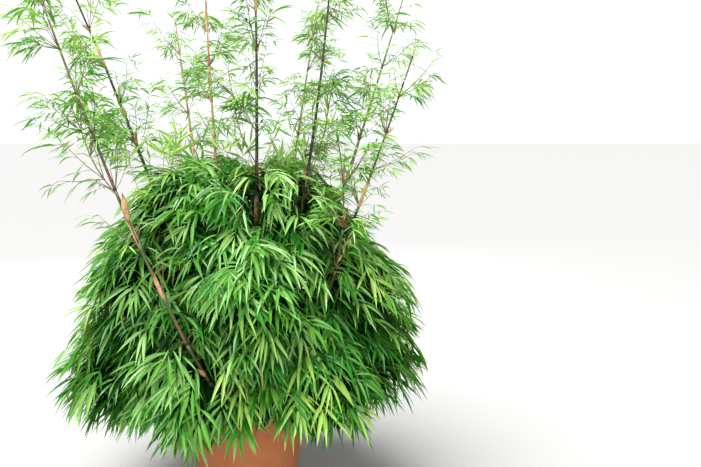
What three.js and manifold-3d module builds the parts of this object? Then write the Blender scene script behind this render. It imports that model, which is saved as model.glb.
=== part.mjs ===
// A clump of slender bamboo growing in a plain round clay pot.
// Millimetres, +Z up. The origin is the centre of the pot's flat underside.
// The front of the plant, where its leaning cane hangs out, faces -Y.
import * as THREE from 'three';
import { mergeVertices } from 'three/addons/utils/BufferGeometryUtils.js';
import Module from 'manifold-3d';

const wasm = await Module();
wasm.setup();

// Pot: a thick-walled tapered pot with a plain raised band round its rim.
const POT_HEIGHT = 460;
const POT_FOOT_RADIUS = 200;
const POT_RIM_RADIUS = 280;
const POT_WALL = 22;
const POT_FLOOR = 30;
const POT_BAND_HEIGHT = 64;
const POT_BAND_PROUD = 12;
const POT_EDGE = 6;
const POT_SIDES = 24;

// Soil: fills the pot to a little under the rim.
const SOIL_BELOW_RIM = 45;
const SOIL_LEVEL = POT_HEIGHT - SOIL_BELOW_RIM;

// Clearance between pieces that touch, the slack round a cane inside foliage, and the
// share by which a mass grows to trim its neighbours.
const GAP = 0.4;
const SLEEVE = 1.5;
const TRIM = 0.012;

// Canes: sides and steps of the faceted tubes. A cane's own radius is widened by FOOT_FLARE
// at its foot, and its tip keeps the tip share of it.
const TALL_SIDES = 5;
const TALL_STEPS = 6;
const ARCHING_SIDES = 5;
const ARCHING_STEPS = 5;
const TIP_SHARE = 0.32;
const FOOT_FLARE = 1.25;
const ARCHING_RADIUS = 5.5;
const ARCHING_TIP_SHARE = 0.7;

// Tall canes. Each runs from its foot in the soil through a middle point to its tip.
// radius is the cane's own, before its foot is widened; plume is the foliage round its upper part:
// from and to are shares of the cane's length, width is the plume's half width.
const TALL_CANES = [
  { name: 'front_left', foot: [21, -118], middle: [-150, -640, 1000], tip: [-640, -480, 2200],
    radius: 9, plume: { from: 0.66, to: 1.03, width: 135 } },
  { name: 'left', foot: [-104, -8], middle: [-372, -28, 1390], tip: [-700, -110, 2330],
    radius: 8.5, plume: { from: 0.6, to: 1.03, width: 150 } },
  { name: 'middle_back', foot: [-38, 46], middle: [-130, 130, 1410], tip: [-176, 185, 2380],
    radius: 8, plume: { from: 0.6, to: 1.03, width: 145 } },
  { name: 'middle', foot: [12, -40], middle: [74, -98, 1400], tip: [84, -112, 2420],
    radius: 9, plume: { from: 0.6, to: 1.03, width: 140 } },
  { name: 'middle_right', foot: [48, 4], middle: [268, -6, 1390], tip: [392, 4, 2390],
    radius: 8.5, plume: { from: 0.6, to: 1.03, width: 140 } },
  { name: 'right', foot: [100, 22], middle: [420, 70, 1350], tip: [690, 90, 2210],
    radius: 8, plume: { from: 0.6, to: 1.03, width: 150 } },
  { name: 'front_right', foot: [107, -50], middle: [430, -210, 1170], tip: [690, -330, 1900],
    radius: 7.5, plume: { from: 0.62, to: 1.04, width: 135 } },
  { name: 'back_right', foot: [57, 98], middle: [175, 300, 1350], tip: [300, 520, 2230],
    radius: 8, plume: { from: 0.6, to: 1.03, width: 155 } },
  { name: 'back_left', foot: [-66, 88], middle: [-250, 330, 1330], tip: [-400, 560, 2160],
    radius: 8, plume: { from: 0.6, to: 1.03, width: 155 } },
  { name: 'short_front', foot: [92, -72], middle: [395, -330, 1060], tip: [415, -430, 1600],
    radius: 6, plume: { from: 0.7, to: 1.05, width: 105 } },
];

// Boughs: side branches of the tall canes. at is the share of the cane's length
// where the bough leaves it, turn its heading in degrees, and reach its end, out and up.
const BOUGH_RADIUS = 3.2;
const BOUGH_TIP_SHARE = 0.6;
const BOUGH_BOW_OUT = 0.16;
const BOUGH_BOW_DOWN = 0.06;
const BOUGH_SIDES = 5;
const BOUGH_STEPS = 4;
const BOUGHS = [
  { name: 'front_left', at: 0.6, turn: 195, out: 100, up: 230 },
  { name: 'left', at: 0.54, turn: 250, out: 95, up: 230 },
  { name: 'middle', at: 0.54, turn: 205, out: 90, up: 240 },
  { name: 'middle_right', at: 0.54, turn: 330, out: 100, up: 240 },
  { name: 'back_right', at: 0.54, turn: 20, out: 100, up: 230 },
];

// Foliage in tiers round the pot, from the drooping skirt up to the shoulder.
// radius and height place each mass; deep, wide and tall are its half sizes;
// droop is how far its outer edge hangs down. cane says how its own arching cane runs.
// The spreads are the shares by which sizes, heights and headings vary; the lumps are
// how deep a mass's surface rolls, and PLUME_SWELL is how much fuller a plume is low down.
const TIERS = [
  { name: 'skirt', count: 7, start: -102, radius: 505, height: 700,
    deep: 240, wide: 230, tall: 215, droop: 78, cane: { footRadius: 128, kneeRadius: 190, kneeRise: 70 } },
  { name: 'flank', count: 6, start: -76, radius: 432, height: 1050,
    deep: 248, wide: 232, tall: 196, droop: 62, cane: { footRadius: 76, kneeRadius: 100, kneeRise: -90 } },
  { name: 'shoulder', count: 4, start: -50, radius: 262, height: 1312,
    deep: 235, wide: 232, tall: 166, droop: 44, cane: null },
];
const SIZE_SPREAD = 0.1;
const HEIGHT_SPREAD = 0.035;
const HEADING_SPREAD = 0.12;
const LUMP = 0.1;
const PLUME_LUMP = 0.17;
const MASS_DETAIL = 2;
const PLUME_SWELL = 0.88;

const RED_CLAY = new THREE.MeshStandardMaterial({ color: 0xb4683f, roughness: 0.9 });
const DARK_SOIL = new THREE.MeshStandardMaterial({ color: 0x2e2218, roughness: 1 });
const GREEN_CANE = new THREE.MeshStandardMaterial({ color: 0x5a5f38, roughness: 0.45 });
const LEAF_MASS = new THREE.MeshStandardMaterial({ color: 0x4b8038, roughness: 0.6 });

const degrees = Math.PI / 180;
const UP = new THREE.Vector3(0, 0, 1);

/** A repeatable number from 0 to 1 for a whole number, with no random draw. */
function scatter(n) {
  const s = Math.sin(n * 12.9898 + 4.1) * 43758.5453;
  return s - Math.floor(s);
}

/** A point given by its distance from the pot's axis, its heading in degrees and its height. */
function polar(radius, heading, z) {
  return new THREE.Vector3(radius * Math.cos(heading * degrees), radius * Math.sin(heading * degrees), z);
}

/** A closed three.js geometry as a manifold solid. */
function solidOf(geometry) {
  const bare = geometry.index ? geometry.toNonIndexed() : geometry.clone();
  bare.deleteAttribute('normal');
  bare.deleteAttribute('uv');
  const merged = mergeVertices(bare, 1e-3);
  return new wasm.Manifold(new wasm.Mesh({
    numProp: 3,
    vertProperties: new Float32Array(merged.attributes.position.array),
    triVerts: new Uint32Array(merged.index.array),
  }));
}

/** The largest body of a solid, as a three.js geometry. Slivers left by a cut are dropped. */
function geometryOf(solid) {
  const bodies = solid.decompose();
  bodies.sort((a, b) => b.volume() - a.volume());
  const mesh = bodies[0].getMesh();
  const geometry = new THREE.BufferGeometry();
  const places = new Float32Array(mesh.numVert * 3);
  for (let i = 0; i < mesh.numVert; i++) {
    for (let k = 0; k < 3; k++) places[3 * i + k] = mesh.vertProperties[i * mesh.numProp + k];
  }
  geometry.setAttribute('position', new THREE.BufferAttribute(places, 3));
  geometry.setIndex(new THREE.BufferAttribute(new Uint32Array(mesh.triVerts), 1));
  return geometry;
}

/** The curve from a foot to a tip that passes through the middle point. */
function growthCurve(foot, middle, tip) {
  const ends = foot.clone().add(tip).multiplyScalar(0.5);
  return new THREE.QuadraticBezierCurve3(foot, middle.clone().multiplyScalar(2).sub(ends), tip);
}

/** A tapering round limb along a curve. With footLevel, its lower end is cut flat at that height. */
function limb(curve, footRadius, tipRadius, sides, steps, footLevel = null) {
  const geometry = new THREE.CylinderGeometry(tipRadius, footRadius, 1, sides, steps);
  const frames = curve.computeFrenetFrames(steps);
  const place = geometry.attributes.position;
  const vertex = new THREE.Vector3();
  for (let i = 0; i < place.count; i++) {
    vertex.fromBufferAttribute(place, i);
    const step = Math.round((vertex.y + 0.5) * steps);
    const centre = curve.getPointAt(step / steps);
    const across = frames.normals[step].clone().multiplyScalar(vertex.z);
    const over = frames.binormals[step].clone().multiplyScalar(vertex.x);
    const moved = centre.add(across).add(over);
    if (footLevel !== null && step === 0) moved.z = footLevel;
    place.setXYZ(i, moved.x, moved.y, moved.z);
  }
  return solidOf(geometry);
}

/** An uneven rounded mass. shape turns a unit direction and its lumpy length into a place. */
function lumpyMass(seed, lump, shape) {
  const geometry = new THREE.IcosahedronGeometry(1, MASS_DETAIL);
  const place = geometry.attributes.position;
  const vertex = new THREE.Vector3();
  const turns = [0, 1, 2, 3, 4, 5].map((k) => scatter(seed * 7 + k) * Math.PI * 2);
  for (let i = 0; i < place.count; i++) {
    vertex.fromBufferAttribute(place, i).normalize();
    const lumps = Math.sin(3.4 * vertex.x + turns[0]) * Math.cos(2.9 * vertex.y + turns[1])
      + 0.7 * Math.sin(4.6 * vertex.y + turns[2]) * Math.cos(4.1 * vertex.z + turns[3])
      + 0.5 * Math.sin(5.8 * vertex.z + turns[4] + 3.7 * vertex.x + turns[5]);
    shape(vertex.multiplyScalar(1 + lump * lumps));
    place.setXYZ(i, vertex.x, vertex.y, vertex.z);
  }
  return solidOf(geometry);
}

/** One foliage mass of a tier, with the point at its middle. */
function tierMass(tier, index, seed) {
  const vary = (k, spread = SIZE_SPREAD) => 1 + spread * (2 * scatter(seed * 5 + k) - 1);
  const heading = tier.start + (360 / tier.count) * (index + HEADING_SPREAD * (scatter(seed * 5) - 0.5));
  const middle = polar(tier.radius * vary(1), heading, tier.height * vary(2, HEIGHT_SPREAD));
  const outward = polar(1, heading, 0);
  const aside = polar(1, heading + 90, 0);
  const [deep, wide, tall] = [tier.deep * vary(3), tier.wide * vary(4), tier.tall * vary(5)];
  const solid = lumpyMass(seed, LUMP, (v) => {
    const [out, side, rise] = [v.x, v.y, v.z];
    v.copy(middle).addScaledVector(outward, out * deep).addScaledVector(aside, side * wide);
    v.z += rise * tall - tier.droop * Math.max(0, out) ** 2;
  });
  return { solid, middle, heading };
}

/** The foliage round the upper part of a tall cane, which it follows to just past the tip. */
function plumeMass(curve, plume, seed) {
  const length = curve.getLength();
  const aside = new THREE.Vector3().crossVectors(UP, curve.getTangentAt(1)).normalize();
  const axis = (share) => curve.getPointAt(Math.min(share, 1))
    .addScaledVector(curve.getTangentAt(1), Math.max(0, share - 1) * length);
  const solid = lumpyMass(seed, PLUME_LUMP, (v) => {
    const [side, top, along] = [v.x, v.y, THREE.MathUtils.clamp(v.z, -1, 1)];
    const share = THREE.MathUtils.lerp(plume.from, plume.to, 0.5 + 0.5 * along);
    const over = new THREE.Vector3().crossVectors(curve.getTangentAt(Math.min(share, 1)), aside);
    const width = plume.width * (PLUME_SWELL - (1 - PLUME_SWELL) * along);
    v.copy(axis(share)).addScaledVector(aside, side * width).addScaledVector(over, top * width);
  });
  return { solid, middle: axis(0.5 * (plume.from + plume.to)) };
}

/** The same solid, grown a little about a point, to cut its neighbours back by a hair. */
function grown(mass) {
  const { x, y, z } = mass.middle;
  const by = 1 + TRIM;
  return mass.solid.translate([-x, -y, -z]).scale([by, by, by]).translate([x, y, z]);
}

/** The pot, turned from its wall section. */
function potGeometry() {
  const rise = POT_HEIGHT - POT_BAND_HEIGHT;
  const outerAt = (z) => POT_FOOT_RADIUS
    + (POT_RIM_RADIUS - POT_BAND_PROUD - POT_FOOT_RADIUS) * (z / POT_HEIGHT);
  const innerAt = (z) => outerAt(z) - POT_WALL;
  const section = [
    [0, 0],
    [POT_FOOT_RADIUS - POT_EDGE, 0],
    [outerAt(POT_EDGE), POT_EDGE],
    [outerAt(rise), rise],
    [outerAt(rise) + POT_BAND_PROUD, rise + POT_EDGE],
    [POT_RIM_RADIUS, POT_HEIGHT - POT_EDGE],
    [POT_RIM_RADIUS - POT_EDGE, POT_HEIGHT],
    [innerAt(POT_HEIGHT), POT_HEIGHT],
    [innerAt(POT_FLOOR), POT_FLOOR],
    [0, POT_FLOOR],
  ].map(([r, z]) => new THREE.Vector2(r, z));
  const geometry = new THREE.LatheGeometry(section, POT_SIDES).rotateX(Math.PI / 2);
  return { geometry, innerAt };
}

/** The soil, a plug that stands just clear of the pot's inside. */
function soilGeometry(innerAt) {
  const section = [
    [0, POT_FLOOR + GAP],
    [innerAt(POT_FLOOR) - GAP, POT_FLOOR + GAP],
    [innerAt(SOIL_LEVEL) - GAP, SOIL_LEVEL],
    [0, SOIL_LEVEL],
  ].map(([r, z]) => new THREE.Vector2(r, z));
  return new THREE.LatheGeometry(section, POT_SIDES).rotateX(Math.PI / 2);
}

/** A tall cane's curve, its solid and the slightly wider sleeve that foliage is cut by. */
function tallCane(spec) {
  const foot = new THREE.Vector3(spec.foot[0], spec.foot[1], SOIL_LEVEL + GAP);
  const curve = growthCurve(foot, new THREE.Vector3(...spec.middle), new THREE.Vector3(...spec.tip));
  const tube = (extra) => limb(curve, spec.radius * FOOT_FLARE + extra, spec.radius * TIP_SHARE + extra,
    TALL_SIDES, TALL_STEPS, SOIL_LEVEL + GAP);
  return { curve, solid: tube(0), sleeve: tube(SLEEVE) };
}

/** The arching cane of a tier's mass, from the soil to the middle of the mass. */
function archingCane(cane, mass) {
  const foot = polar(cane.footRadius, mass.heading, SOIL_LEVEL + GAP);
  const knee = polar(cane.kneeRadius, mass.heading, mass.middle.z + cane.kneeRise);
  const curve = new THREE.QuadraticBezierCurve3(foot, knee, mass.middle);
  return limb(curve, ARCHING_RADIUS * FOOT_FLARE, ARCHING_RADIUS * ARCHING_TIP_SHARE,
    ARCHING_SIDES, ARCHING_STEPS, SOIL_LEVEL + GAP);
}

/** A side branch that leaves a tall cane and rises into its plume. */
function boughSolid(spec, curve) {
  const start = curve.getPointAt(spec.at);
  const end = start.clone().add(polar(spec.out, spec.turn, spec.up));
  const bow = polar(BOUGH_BOW_OUT * spec.out, spec.turn, -BOUGH_BOW_DOWN * spec.up);
  const knee = start.clone().lerp(end, 0.5).add(bow);
  return limb(growthCurve(start, knee, end), BOUGH_RADIUS, BOUGH_RADIUS * BOUGH_TIP_SHARE,
    BOUGH_SIDES, BOUGH_STEPS);
}

const part = new THREE.Group();

/** Adds a named piece to the part. */
function add(name, geometry, material) {
  const mesh = new THREE.Mesh(geometry, material);
  mesh.name = name;
  part.add(mesh);
}

const { geometry: potShape, innerAt } = potGeometry();
add('pot', potShape, RED_CLAY);
add('soil', soilGeometry(innerAt), DARK_SOIL);

const canes = new Map();
for (const spec of TALL_CANES) {
  canes.set(spec.name, tallCane(spec));
  add(`cane_${spec.name}`, geometryOf(canes.get(spec.name).solid), GREEN_CANE);
}

// The masses, each cut back from those before it, so that none overlap.
const masses = new Map();
let seed = 1;
for (const tier of TIERS) {
  for (let i = 0; i < tier.count; i++) {
    const mass = tierMass(tier, i, seed);
    masses.set(`${tier.name}_mass_${i + 1}`, { ...mass, tier });
    seed += 1;
  }
}
for (const spec of TALL_CANES) {
  masses.set(`plume_${spec.name}`, plumeMass(canes.get(spec.name).curve, spec.plume, seed));
  seed += 1;
}
const placed = [];
for (const [name, mass] of masses) {
  let solid = mass.solid;
  for (const earlier of placed) solid = solid.subtract(grown(earlier));
  for (const cane of canes.values()) solid = solid.subtract(cane.sleeve);
  placed.push(mass);
  add(name, geometryOf(solid), LEAF_MASS);
}

// Each arching cane ends where it enters its mass, and so does each bough.
for (const [name, mass] of masses) {
  if (!mass.tier || !mass.tier.cane) continue;
  let solid = archingCane(mass.tier.cane, mass);
  for (const other of masses.values()) solid = solid.subtract(grown(other));
  add(name.replace('mass', 'cane'), geometryOf(solid), GREEN_CANE);
}
for (const spec of BOUGHS) {
  const cane = canes.get(spec.name);
  let solid = boughSolid(spec, cane.curve).subtract(cane.sleeve);
  for (const other of masses.values()) solid = solid.subtract(grown(other));
  add(`bough_${spec.name}`, geometryOf(solid), GREEN_CANE);
}

export default part;
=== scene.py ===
"""Potted bamboo: a clump of slender canes over a dome of drooping leaf fans, in a plain clay pot.

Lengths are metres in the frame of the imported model: +Z is up and the front faces -Y.
"""

import logging
import math
from contextlib import contextmanager
from dataclasses import dataclass, field
from enum import Enum
from functools import partial
from typing import Callable, Iterator

import bpy
import numpy as np
from mathutils import Matrix, Vector
from mathutils.bvhtree import BVHTree


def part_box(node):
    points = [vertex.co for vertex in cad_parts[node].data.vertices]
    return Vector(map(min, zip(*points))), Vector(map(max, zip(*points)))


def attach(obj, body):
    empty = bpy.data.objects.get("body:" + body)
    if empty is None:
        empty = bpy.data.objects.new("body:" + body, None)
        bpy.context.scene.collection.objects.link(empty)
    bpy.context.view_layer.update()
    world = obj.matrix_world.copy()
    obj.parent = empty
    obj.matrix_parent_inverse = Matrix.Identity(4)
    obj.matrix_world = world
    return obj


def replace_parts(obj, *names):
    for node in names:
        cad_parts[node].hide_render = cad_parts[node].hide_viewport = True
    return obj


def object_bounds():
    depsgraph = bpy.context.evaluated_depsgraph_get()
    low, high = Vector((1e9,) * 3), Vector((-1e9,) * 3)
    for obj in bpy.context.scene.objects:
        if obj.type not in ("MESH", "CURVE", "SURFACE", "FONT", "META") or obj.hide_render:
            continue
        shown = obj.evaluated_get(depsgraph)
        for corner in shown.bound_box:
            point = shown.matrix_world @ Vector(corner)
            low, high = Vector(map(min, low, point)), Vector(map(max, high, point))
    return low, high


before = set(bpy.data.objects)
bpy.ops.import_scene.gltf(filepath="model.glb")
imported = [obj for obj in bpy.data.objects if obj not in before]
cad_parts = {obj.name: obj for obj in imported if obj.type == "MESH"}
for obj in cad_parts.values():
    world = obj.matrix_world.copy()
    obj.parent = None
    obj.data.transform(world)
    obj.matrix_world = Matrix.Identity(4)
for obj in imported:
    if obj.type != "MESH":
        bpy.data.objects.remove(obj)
CAD_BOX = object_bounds()

LOG = logging.getLogger("potted_bamboo")
BODY = "root"
SEED = 4408
MM = 0.001
UP = np.array([0.0, 0.0, 1.0])
CULM_MAP = "culm"
SHEATH_MAP = "sheath"
LEAF_MAP = "OFBake"
# The inputs of a Mix node for colours: the second one's share, then the two colours.
SHARE, FIRST, SECOND = 0, 6, 7
NODE_SETTINGS = {"Mix": {"data_type": "RGBA"}}
# For a Map Range node that eases in and out.
EASED = {"interpolation_type": "SMOOTHSTEP"}
# A wave texture of scale 1 repeats after about this length.
WAVE_LENGTH = 0.31
ROW_GAP = 1e-3

Piece = bpy.types.Object
Material = bpy.types.Material
Node = bpy.types.Node
Rng = np.random.Generator
Array = np.ndarray
Range = tuple[float, float]
Place = tuple[float, float, float]


class Slot(Enum):
    """The record's material slots."""

    CLAY = "red_clay"
    SOIL = "potting_soil"
    CANE = "bamboo_cane"
    LEAF = "leaves"


class CaneKind(Enum):
    """The skins that the canes come in."""

    DARK = "dark"
    AGED = "aged"
    TAN = "tan"
    GREEN = "green"


class Tint(Enum):
    """The plain leaf colours, dealt out by spray."""

    # Painted shade: a near-black leaf, set where the crown is in shade.
    SHADE = "shade"
    # A darker green: partly a leaf colour dealt at random, mostly painted shade deep in the masses, in the
    # clefts and low down.
    DEEP = "deep"
    MID = "mid"
    # A paler green: partly a leaf colour dealt at random, partly painted light at the surface and on the
    # top tier.
    LIGHT = "light"
    LIME = "lime"
    STRAW = "straw"


class Zone(Enum):
    """The parts of the crown that leaves and twigs are joined by."""

    SKIRT = "skirt"
    FLANK = "flank"
    SHOULDER = "shoulder"
    PLUME = "plume"
    LITTER = "litter"
    JOINT = "joint"


# Colours and shader nodes


def to_linear(hex_colour: str) -> tuple[float, float, float, float]:
    """Turns an sRGB hex colour to linear light.

    Args:
        hex_colour: A colour such as "#4f8a3c".

    Returns:
        Red, green, blue and alpha, the last always 1.
    """
    shares = [int(hex_colour[i:i + 2], 16) / 255 for i in (1, 3, 5)]
    red, green, blue = [s / 12.92 if s <= 0.04045 else ((s + 0.055) / 1.055) ** 2.4 for s in shares]
    return red, green, blue, 1.0


def per_metre(size_mm: float) -> float:
    """The scale of a texture whose grain has a size in millimetres."""
    return 1 / (size_mm * MM)


def feed(node: Node, inputs: dict) -> Node:
    """Gives the inputs of a node their values and links.

    Args:
        node: The node.
        inputs: For each input, by name or number, a value, a hex colour, an output, or a node that
            feeds it by its first output in use.

    Returns:
        The same node.
    """
    for name, value in inputs.items():
        if isinstance(value, Node):
            value = next(output for output in value.outputs if output.enabled)
        if isinstance(value, bpy.types.NodeSocket):
            node.id_data.links.new(value, node.inputs[name])
        else:
            node.inputs[name].default_value = to_linear(value) if isinstance(value, str) else value
    return node


def add_node(tree: bpy.types.NodeTree, kind: str, inputs: dict | None = None, **settings: object) -> Node:
    """Adds a shader node.

    Args:
        tree: The node tree that gets the node.
        kind: The node's type name, without its common start.
        inputs: What feeds its inputs, as in feed.
        settings: Properties of the node itself.

    Returns:
        The new node.
    """
    node = tree.nodes.new(f"ShaderNode{kind}")
    for name, value in {**NODE_SETTINGS.get(kind, {}), **settings}.items():
        setattr(node, name, value)
    return feed(node, inputs or {})


def new_material(name: str) -> tuple[Material, Node, Callable[..., Node]]:
    """Makes a material that holds one Principled shader.

    Args:
        name: The material's name.

    Returns:
        The material, its Principled node, and add_node for its own tree.
    """
    material = bpy.data.materials.new(name)
    material.use_nodes = True
    tree = material.node_tree
    return material, tree.nodes["Principled BSDF"], partial(add_node, tree)


@dataclass(frozen=True)
class FiredClay:
    """Unglazed earthenware, turned on a wheel and fired: chalky, with soft patches and lime bloom."""

    clay: str = "#ad6540"
    pale: str = "#c6875f"
    bloom: str = "#d8c6ae"
    damp: str = "#7d4630"
    patch_mm: float = 110.0
    bloom_mm: float = 38.0
    grit_mm: float = 2.2
    ring_mm: float = 7.0
    damp_top: float = 0.10
    bloom_top: float = 0.30

    def material(self) -> Material:
        """Builds the clay. Its bump is grit and faint turning rings, so it looks dry and hand made.

        Returns:
            The material.
        """
        material, shader, add = new_material("fired_clay")
        place = add("TexCoord").outputs["Object"]
        height = add("SeparateXYZ", {"Vector": place}).outputs["Z"]
        patches = add("TexNoise", {
            "Vector": place, "Scale": per_metre(self.patch_mm), "Detail": 4.0, "Roughness": 0.6})
        tone = add("Mix", {SHARE: patches, FIRST: self.clay, SECOND: self.pale})
        flecks = add("TexNoise", {
            "Vector": place, "Scale": per_metre(self.bloom_mm), "Detail": 7.0, "Roughness": 0.72})
        low_down = add("MapRange", {
            "Value": height, "From Min": self.bloom_top, "From Max": 0.0, "To Max": 0.22}, **EASED)
        crust = add("Math", {0: flecks, 1: low_down}, operation="ADD")
        crusted = add("MapRange", {
            "Value": crust, "From Min": 0.60, "From Max": 0.82, "To Max": 0.52}, **EASED)
        bloomed = add("Mix", {SHARE: crusted, FIRST: tone, SECOND: self.bloom})
        wet = add("MapRange", {
            "Value": height, "From Min": self.damp_top, "From Max": 0.0, "To Max": 0.55}, **EASED)
        stained = add("Mix", {SHARE: wet, FIRST: bloomed, SECOND: self.damp})
        grit = add("TexNoise", {"Vector": place, "Scale": per_metre(self.grit_mm), "Detail": 3.0})
        rings = add("TexWave", {
            "Vector": place, "Scale": WAVE_LENGTH / (self.ring_mm * MM), "Distortion": 1.2,
            "Detail": 2.0}, bands_direction="Z").outputs["Fac"]
        relief = add("Math", {0: rings, 1: 0.45, 2: grit}, operation="MULTIPLY_ADD")
        bump = add("Bump", {"Height": relief, "Strength": 0.55, "Distance": 0.9 * MM})
        feed(shader, {"Base Color": stained, "Roughness": 0.88, "IOR": 1.5, "Normal": bump})
        return material


@dataclass(frozen=True)
class PottingSoil:
    """Moist peat and composted bark: nearly black crumbs with browner fibres, rough in its bump."""

    name: str
    dark: str = "#241a12"
    brown: str = "#4b3626"
    crumb_mm: float = 6.0
    fibre_mm: float = 1.6

    def material(self) -> Material:
        """Builds the soil.

        Returns:
            The material.
        """
        material, shader, add = new_material(self.name)
        place = add("TexCoord").outputs["Object"]
        crumbs = add("TexNoise", {
            "Vector": place, "Scale": per_metre(self.crumb_mm), "Detail": 5.0, "Roughness": 0.65})
        spread = add("MapRange", {"Value": crumbs, "From Min": 0.38, "From Max": 0.68})
        tone = add("Mix", {SHARE: spread, FIRST: self.dark, SECOND: self.brown})
        fibres = add("TexNoise", {"Vector": place, "Scale": per_metre(self.fibre_mm), "Detail": 4.0})
        bump = add("Bump", {"Height": fibres, "Strength": 0.8, "Distance": 1.5 * MM})
        feed(shader, {"Base Color": tone, "Roughness": 0.95, "Specular IOR Level": 0.25, "Normal": bump})
        return material


@dataclass(frozen=True)
class CaneSkin:
    """The hard waxy skin of a cane: long fine fibres, a pale bloom under each joint, a dark scar."""

    kind: CaneKind
    skin: str
    other_skin: str
    weathered: str
    bloom: str
    scar: str
    roughness: float = 0.38
    browned: float = 0.35
    fibre_count: float = 46.0
    patch_mm: float = 70.0

    def material(self) -> Material:
        """Builds the skin on the cane's map: round it, 2 on for each internode, then joint to joint.

        Returns:
            The material.
        """
        material, shader, add = new_material(f"cane_skin_{self.kind.value}")
        place = add("TexCoord").outputs["Object"]
        where = add("UVMap", uv_map=CULM_MAP)
        axes = add("SeparateXYZ", {"Vector": where})
        step = axes.outputs["Y"]
        halved = add("Math", {0: axes.outputs["X"], 1: 0.5}, operation="MULTIPLY")
        number = add("Math", {0: halved}, operation="FLOOR")
        chance = add("TexWhiteNoise", {"W": number}, noise_dimensions="1D")
        own_skin = add("Mix", {SHARE: chance, FIRST: self.skin, SECOND: self.other_skin})
        stretched = add("Mapping", {"Vector": where, "Scale": (self.fibre_count, 2.2, 1.0)})
        fibres = add("TexNoise", {"Vector": stretched, "Scale": 1.0, "Detail": 3.0})
        patches = add("TexNoise", {
            "Vector": place, "Scale": per_metre(self.patch_mm), "Detail": 5.0, "Roughness": 0.7})
        low_down = add("MapRange", {
            "Value": step, "From Min": 0.62, "From Max": 0.05, "To Max": self.browned})
        frayed = add("Math", {0: fibres, 1: 0.3, 2: low_down}, operation="MULTIPLY_ADD")
        browning = add("Math", {0: patches, 1: frayed}, operation="ADD")
        worn = add("MapRange", {"Value": browning, "From Min": 0.68, "From Max": 0.92}, **EASED)
        tone = add("Mix", {SHARE: worn, FIRST: own_skin, SECOND: self.weathered})
        grain = add("MapRange", {
            "Value": fibres, "From Min": 0.3, "From Max": 0.7, "To Min": 0.82, "To Max": 1.14})
        streaked = add("Mix", {SHARE: 1.0, FIRST: tone, SECOND: grain}, blend_type="MULTIPLY")
        under_joint = add("MapRange", {
            "Value": step, "From Min": 0.80, "From Max": 0.93, "To Max": 0.72}, **EASED)
        waxed = add("Mix", {SHARE: under_joint, FIRST: streaked, SECOND: self.bloom})
        at_joint = add("MapRange", {"Value": step, "From Min": 0.935, "From Max": 0.945})
        scarred = add("Mix", {SHARE: at_joint, FIRST: waxed, SECOND: self.scar})
        dulled = add("MapRange", {
            "Value": patches, "From Min": 0.3, "From Max": 0.7,
            "To Min": self.roughness - 0.06, "To Max": self.roughness + 0.22})
        bump = add("Bump", {"Height": fibres, "Strength": 0.3, "Distance": 0.25 * MM})
        feed(shader, {"Base Color": scarred, "Roughness": dulled, "IOR": 1.48, "Coat Weight": 0.12,
                      "Coat Roughness": 0.3, "Normal": bump})
        return material


CANE_SKINS = (
    CaneSkin(CaneKind.DARK, "#1b2c14", "#344220", "#43382a", "#6d7560", "#17120c"),
    CaneSkin(CaneKind.AGED, "#40522c", "#565836", "#6c5040", "#8e8c72", "#2a1d12", 0.48, 0.5),
    CaneSkin(CaneKind.TAN, "#b39069", "#9a7058", "#8c6450", "#d2bc9c", "#4f3522", 0.5),
    CaneSkin(CaneKind.GREEN, "#566f2f", "#7d7c40", "#7a7442", "#a5ac8a", "#3b2f1c"),
)


@dataclass(frozen=True)
class DrySheath:
    """A papery culm sheath, dried to a pinkish straw: matt, with brown fibres up to its brown point."""

    straw: str = "#c0a074"
    brown: str = "#8c6444"
    point: str = "#6e4a32"
    fibre_count: float = 34.0
    patch_mm: float = 30.0

    def material(self) -> Material:
        """Builds the sheath on its own map: across it, then from its foot to its point.

        Returns:
            The material.
        """
        material, shader, add = new_material("dry_culm_sheath")
        place = add("TexCoord").outputs["Object"]
        where = add("UVMap", uv_map=SHEATH_MAP)
        along = add("SeparateXYZ", {"Vector": where}).outputs["Y"]
        stretched = add("Mapping", {"Vector": where, "Scale": (self.fibre_count, 1.6, 1.0)})
        fibres = add("TexNoise", {"Vector": stretched, "Scale": 1.0, "Detail": 4.0})
        patches = add("TexNoise", {"Vector": place, "Scale": per_metre(self.patch_mm), "Detail": 4.0})
        streaks = add("Math", {0: fibres, 1: patches}, operation="ADD")
        spread = add("MapRange", {"Value": streaks, "From Min": 0.86, "From Max": 1.3}, **EASED)
        tone = add("Mix", {SHARE: spread, FIRST: self.straw, SECOND: self.brown})
        near_point = add("MapRange", {
            "Value": along, "From Min": 0.72, "From Max": 1.0, "To Max": 0.85}, **EASED)
        pointed = add("Mix", {SHARE: near_point, FIRST: tone, SECOND: self.point})
        bump = add("Bump", {"Height": fibres, "Strength": 0.5, "Distance": 0.4 * MM})
        feed(shader, {"Base Color": pointed, "Roughness": 0.68, "Sheen Weight": 0.15, "Normal": bump})
        return material


@dataclass(frozen=True)
class TwigSkin:
    """The smooth skin of a thin side branch, green where fresh and browner where old."""

    name: str
    green: str
    brown: str
    patch_mm: float = 45.0

    def material(self) -> Material:
        """Builds the twig skin in soft patches of its two colours.

        Returns:
            The material.
        """
        material, shader, add = new_material(self.name)
        place = add("TexCoord").outputs["Object"]
        patches = add("TexNoise", {"Vector": place, "Scale": per_metre(self.patch_mm), "Detail": 3.0})
        spread = add("MapRange", {"Value": patches, "From Min": 0.4, "From Max": 0.62})
        tone = add("Mix", {SHARE: spread, FIRST: self.green, SECOND: self.brown})
        feed(shader, {"Base Color": tone, "Roughness": 0.5, "IOR": 1.46})
        return material


FRESH_TWIGS = TwigSkin("fresh_twig_skin", "#4f6a2e", "#7a6440")
OLD_TWIGS = TwigSkin("old_twig_skin", "#6f5a45", "#8a7459")


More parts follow.
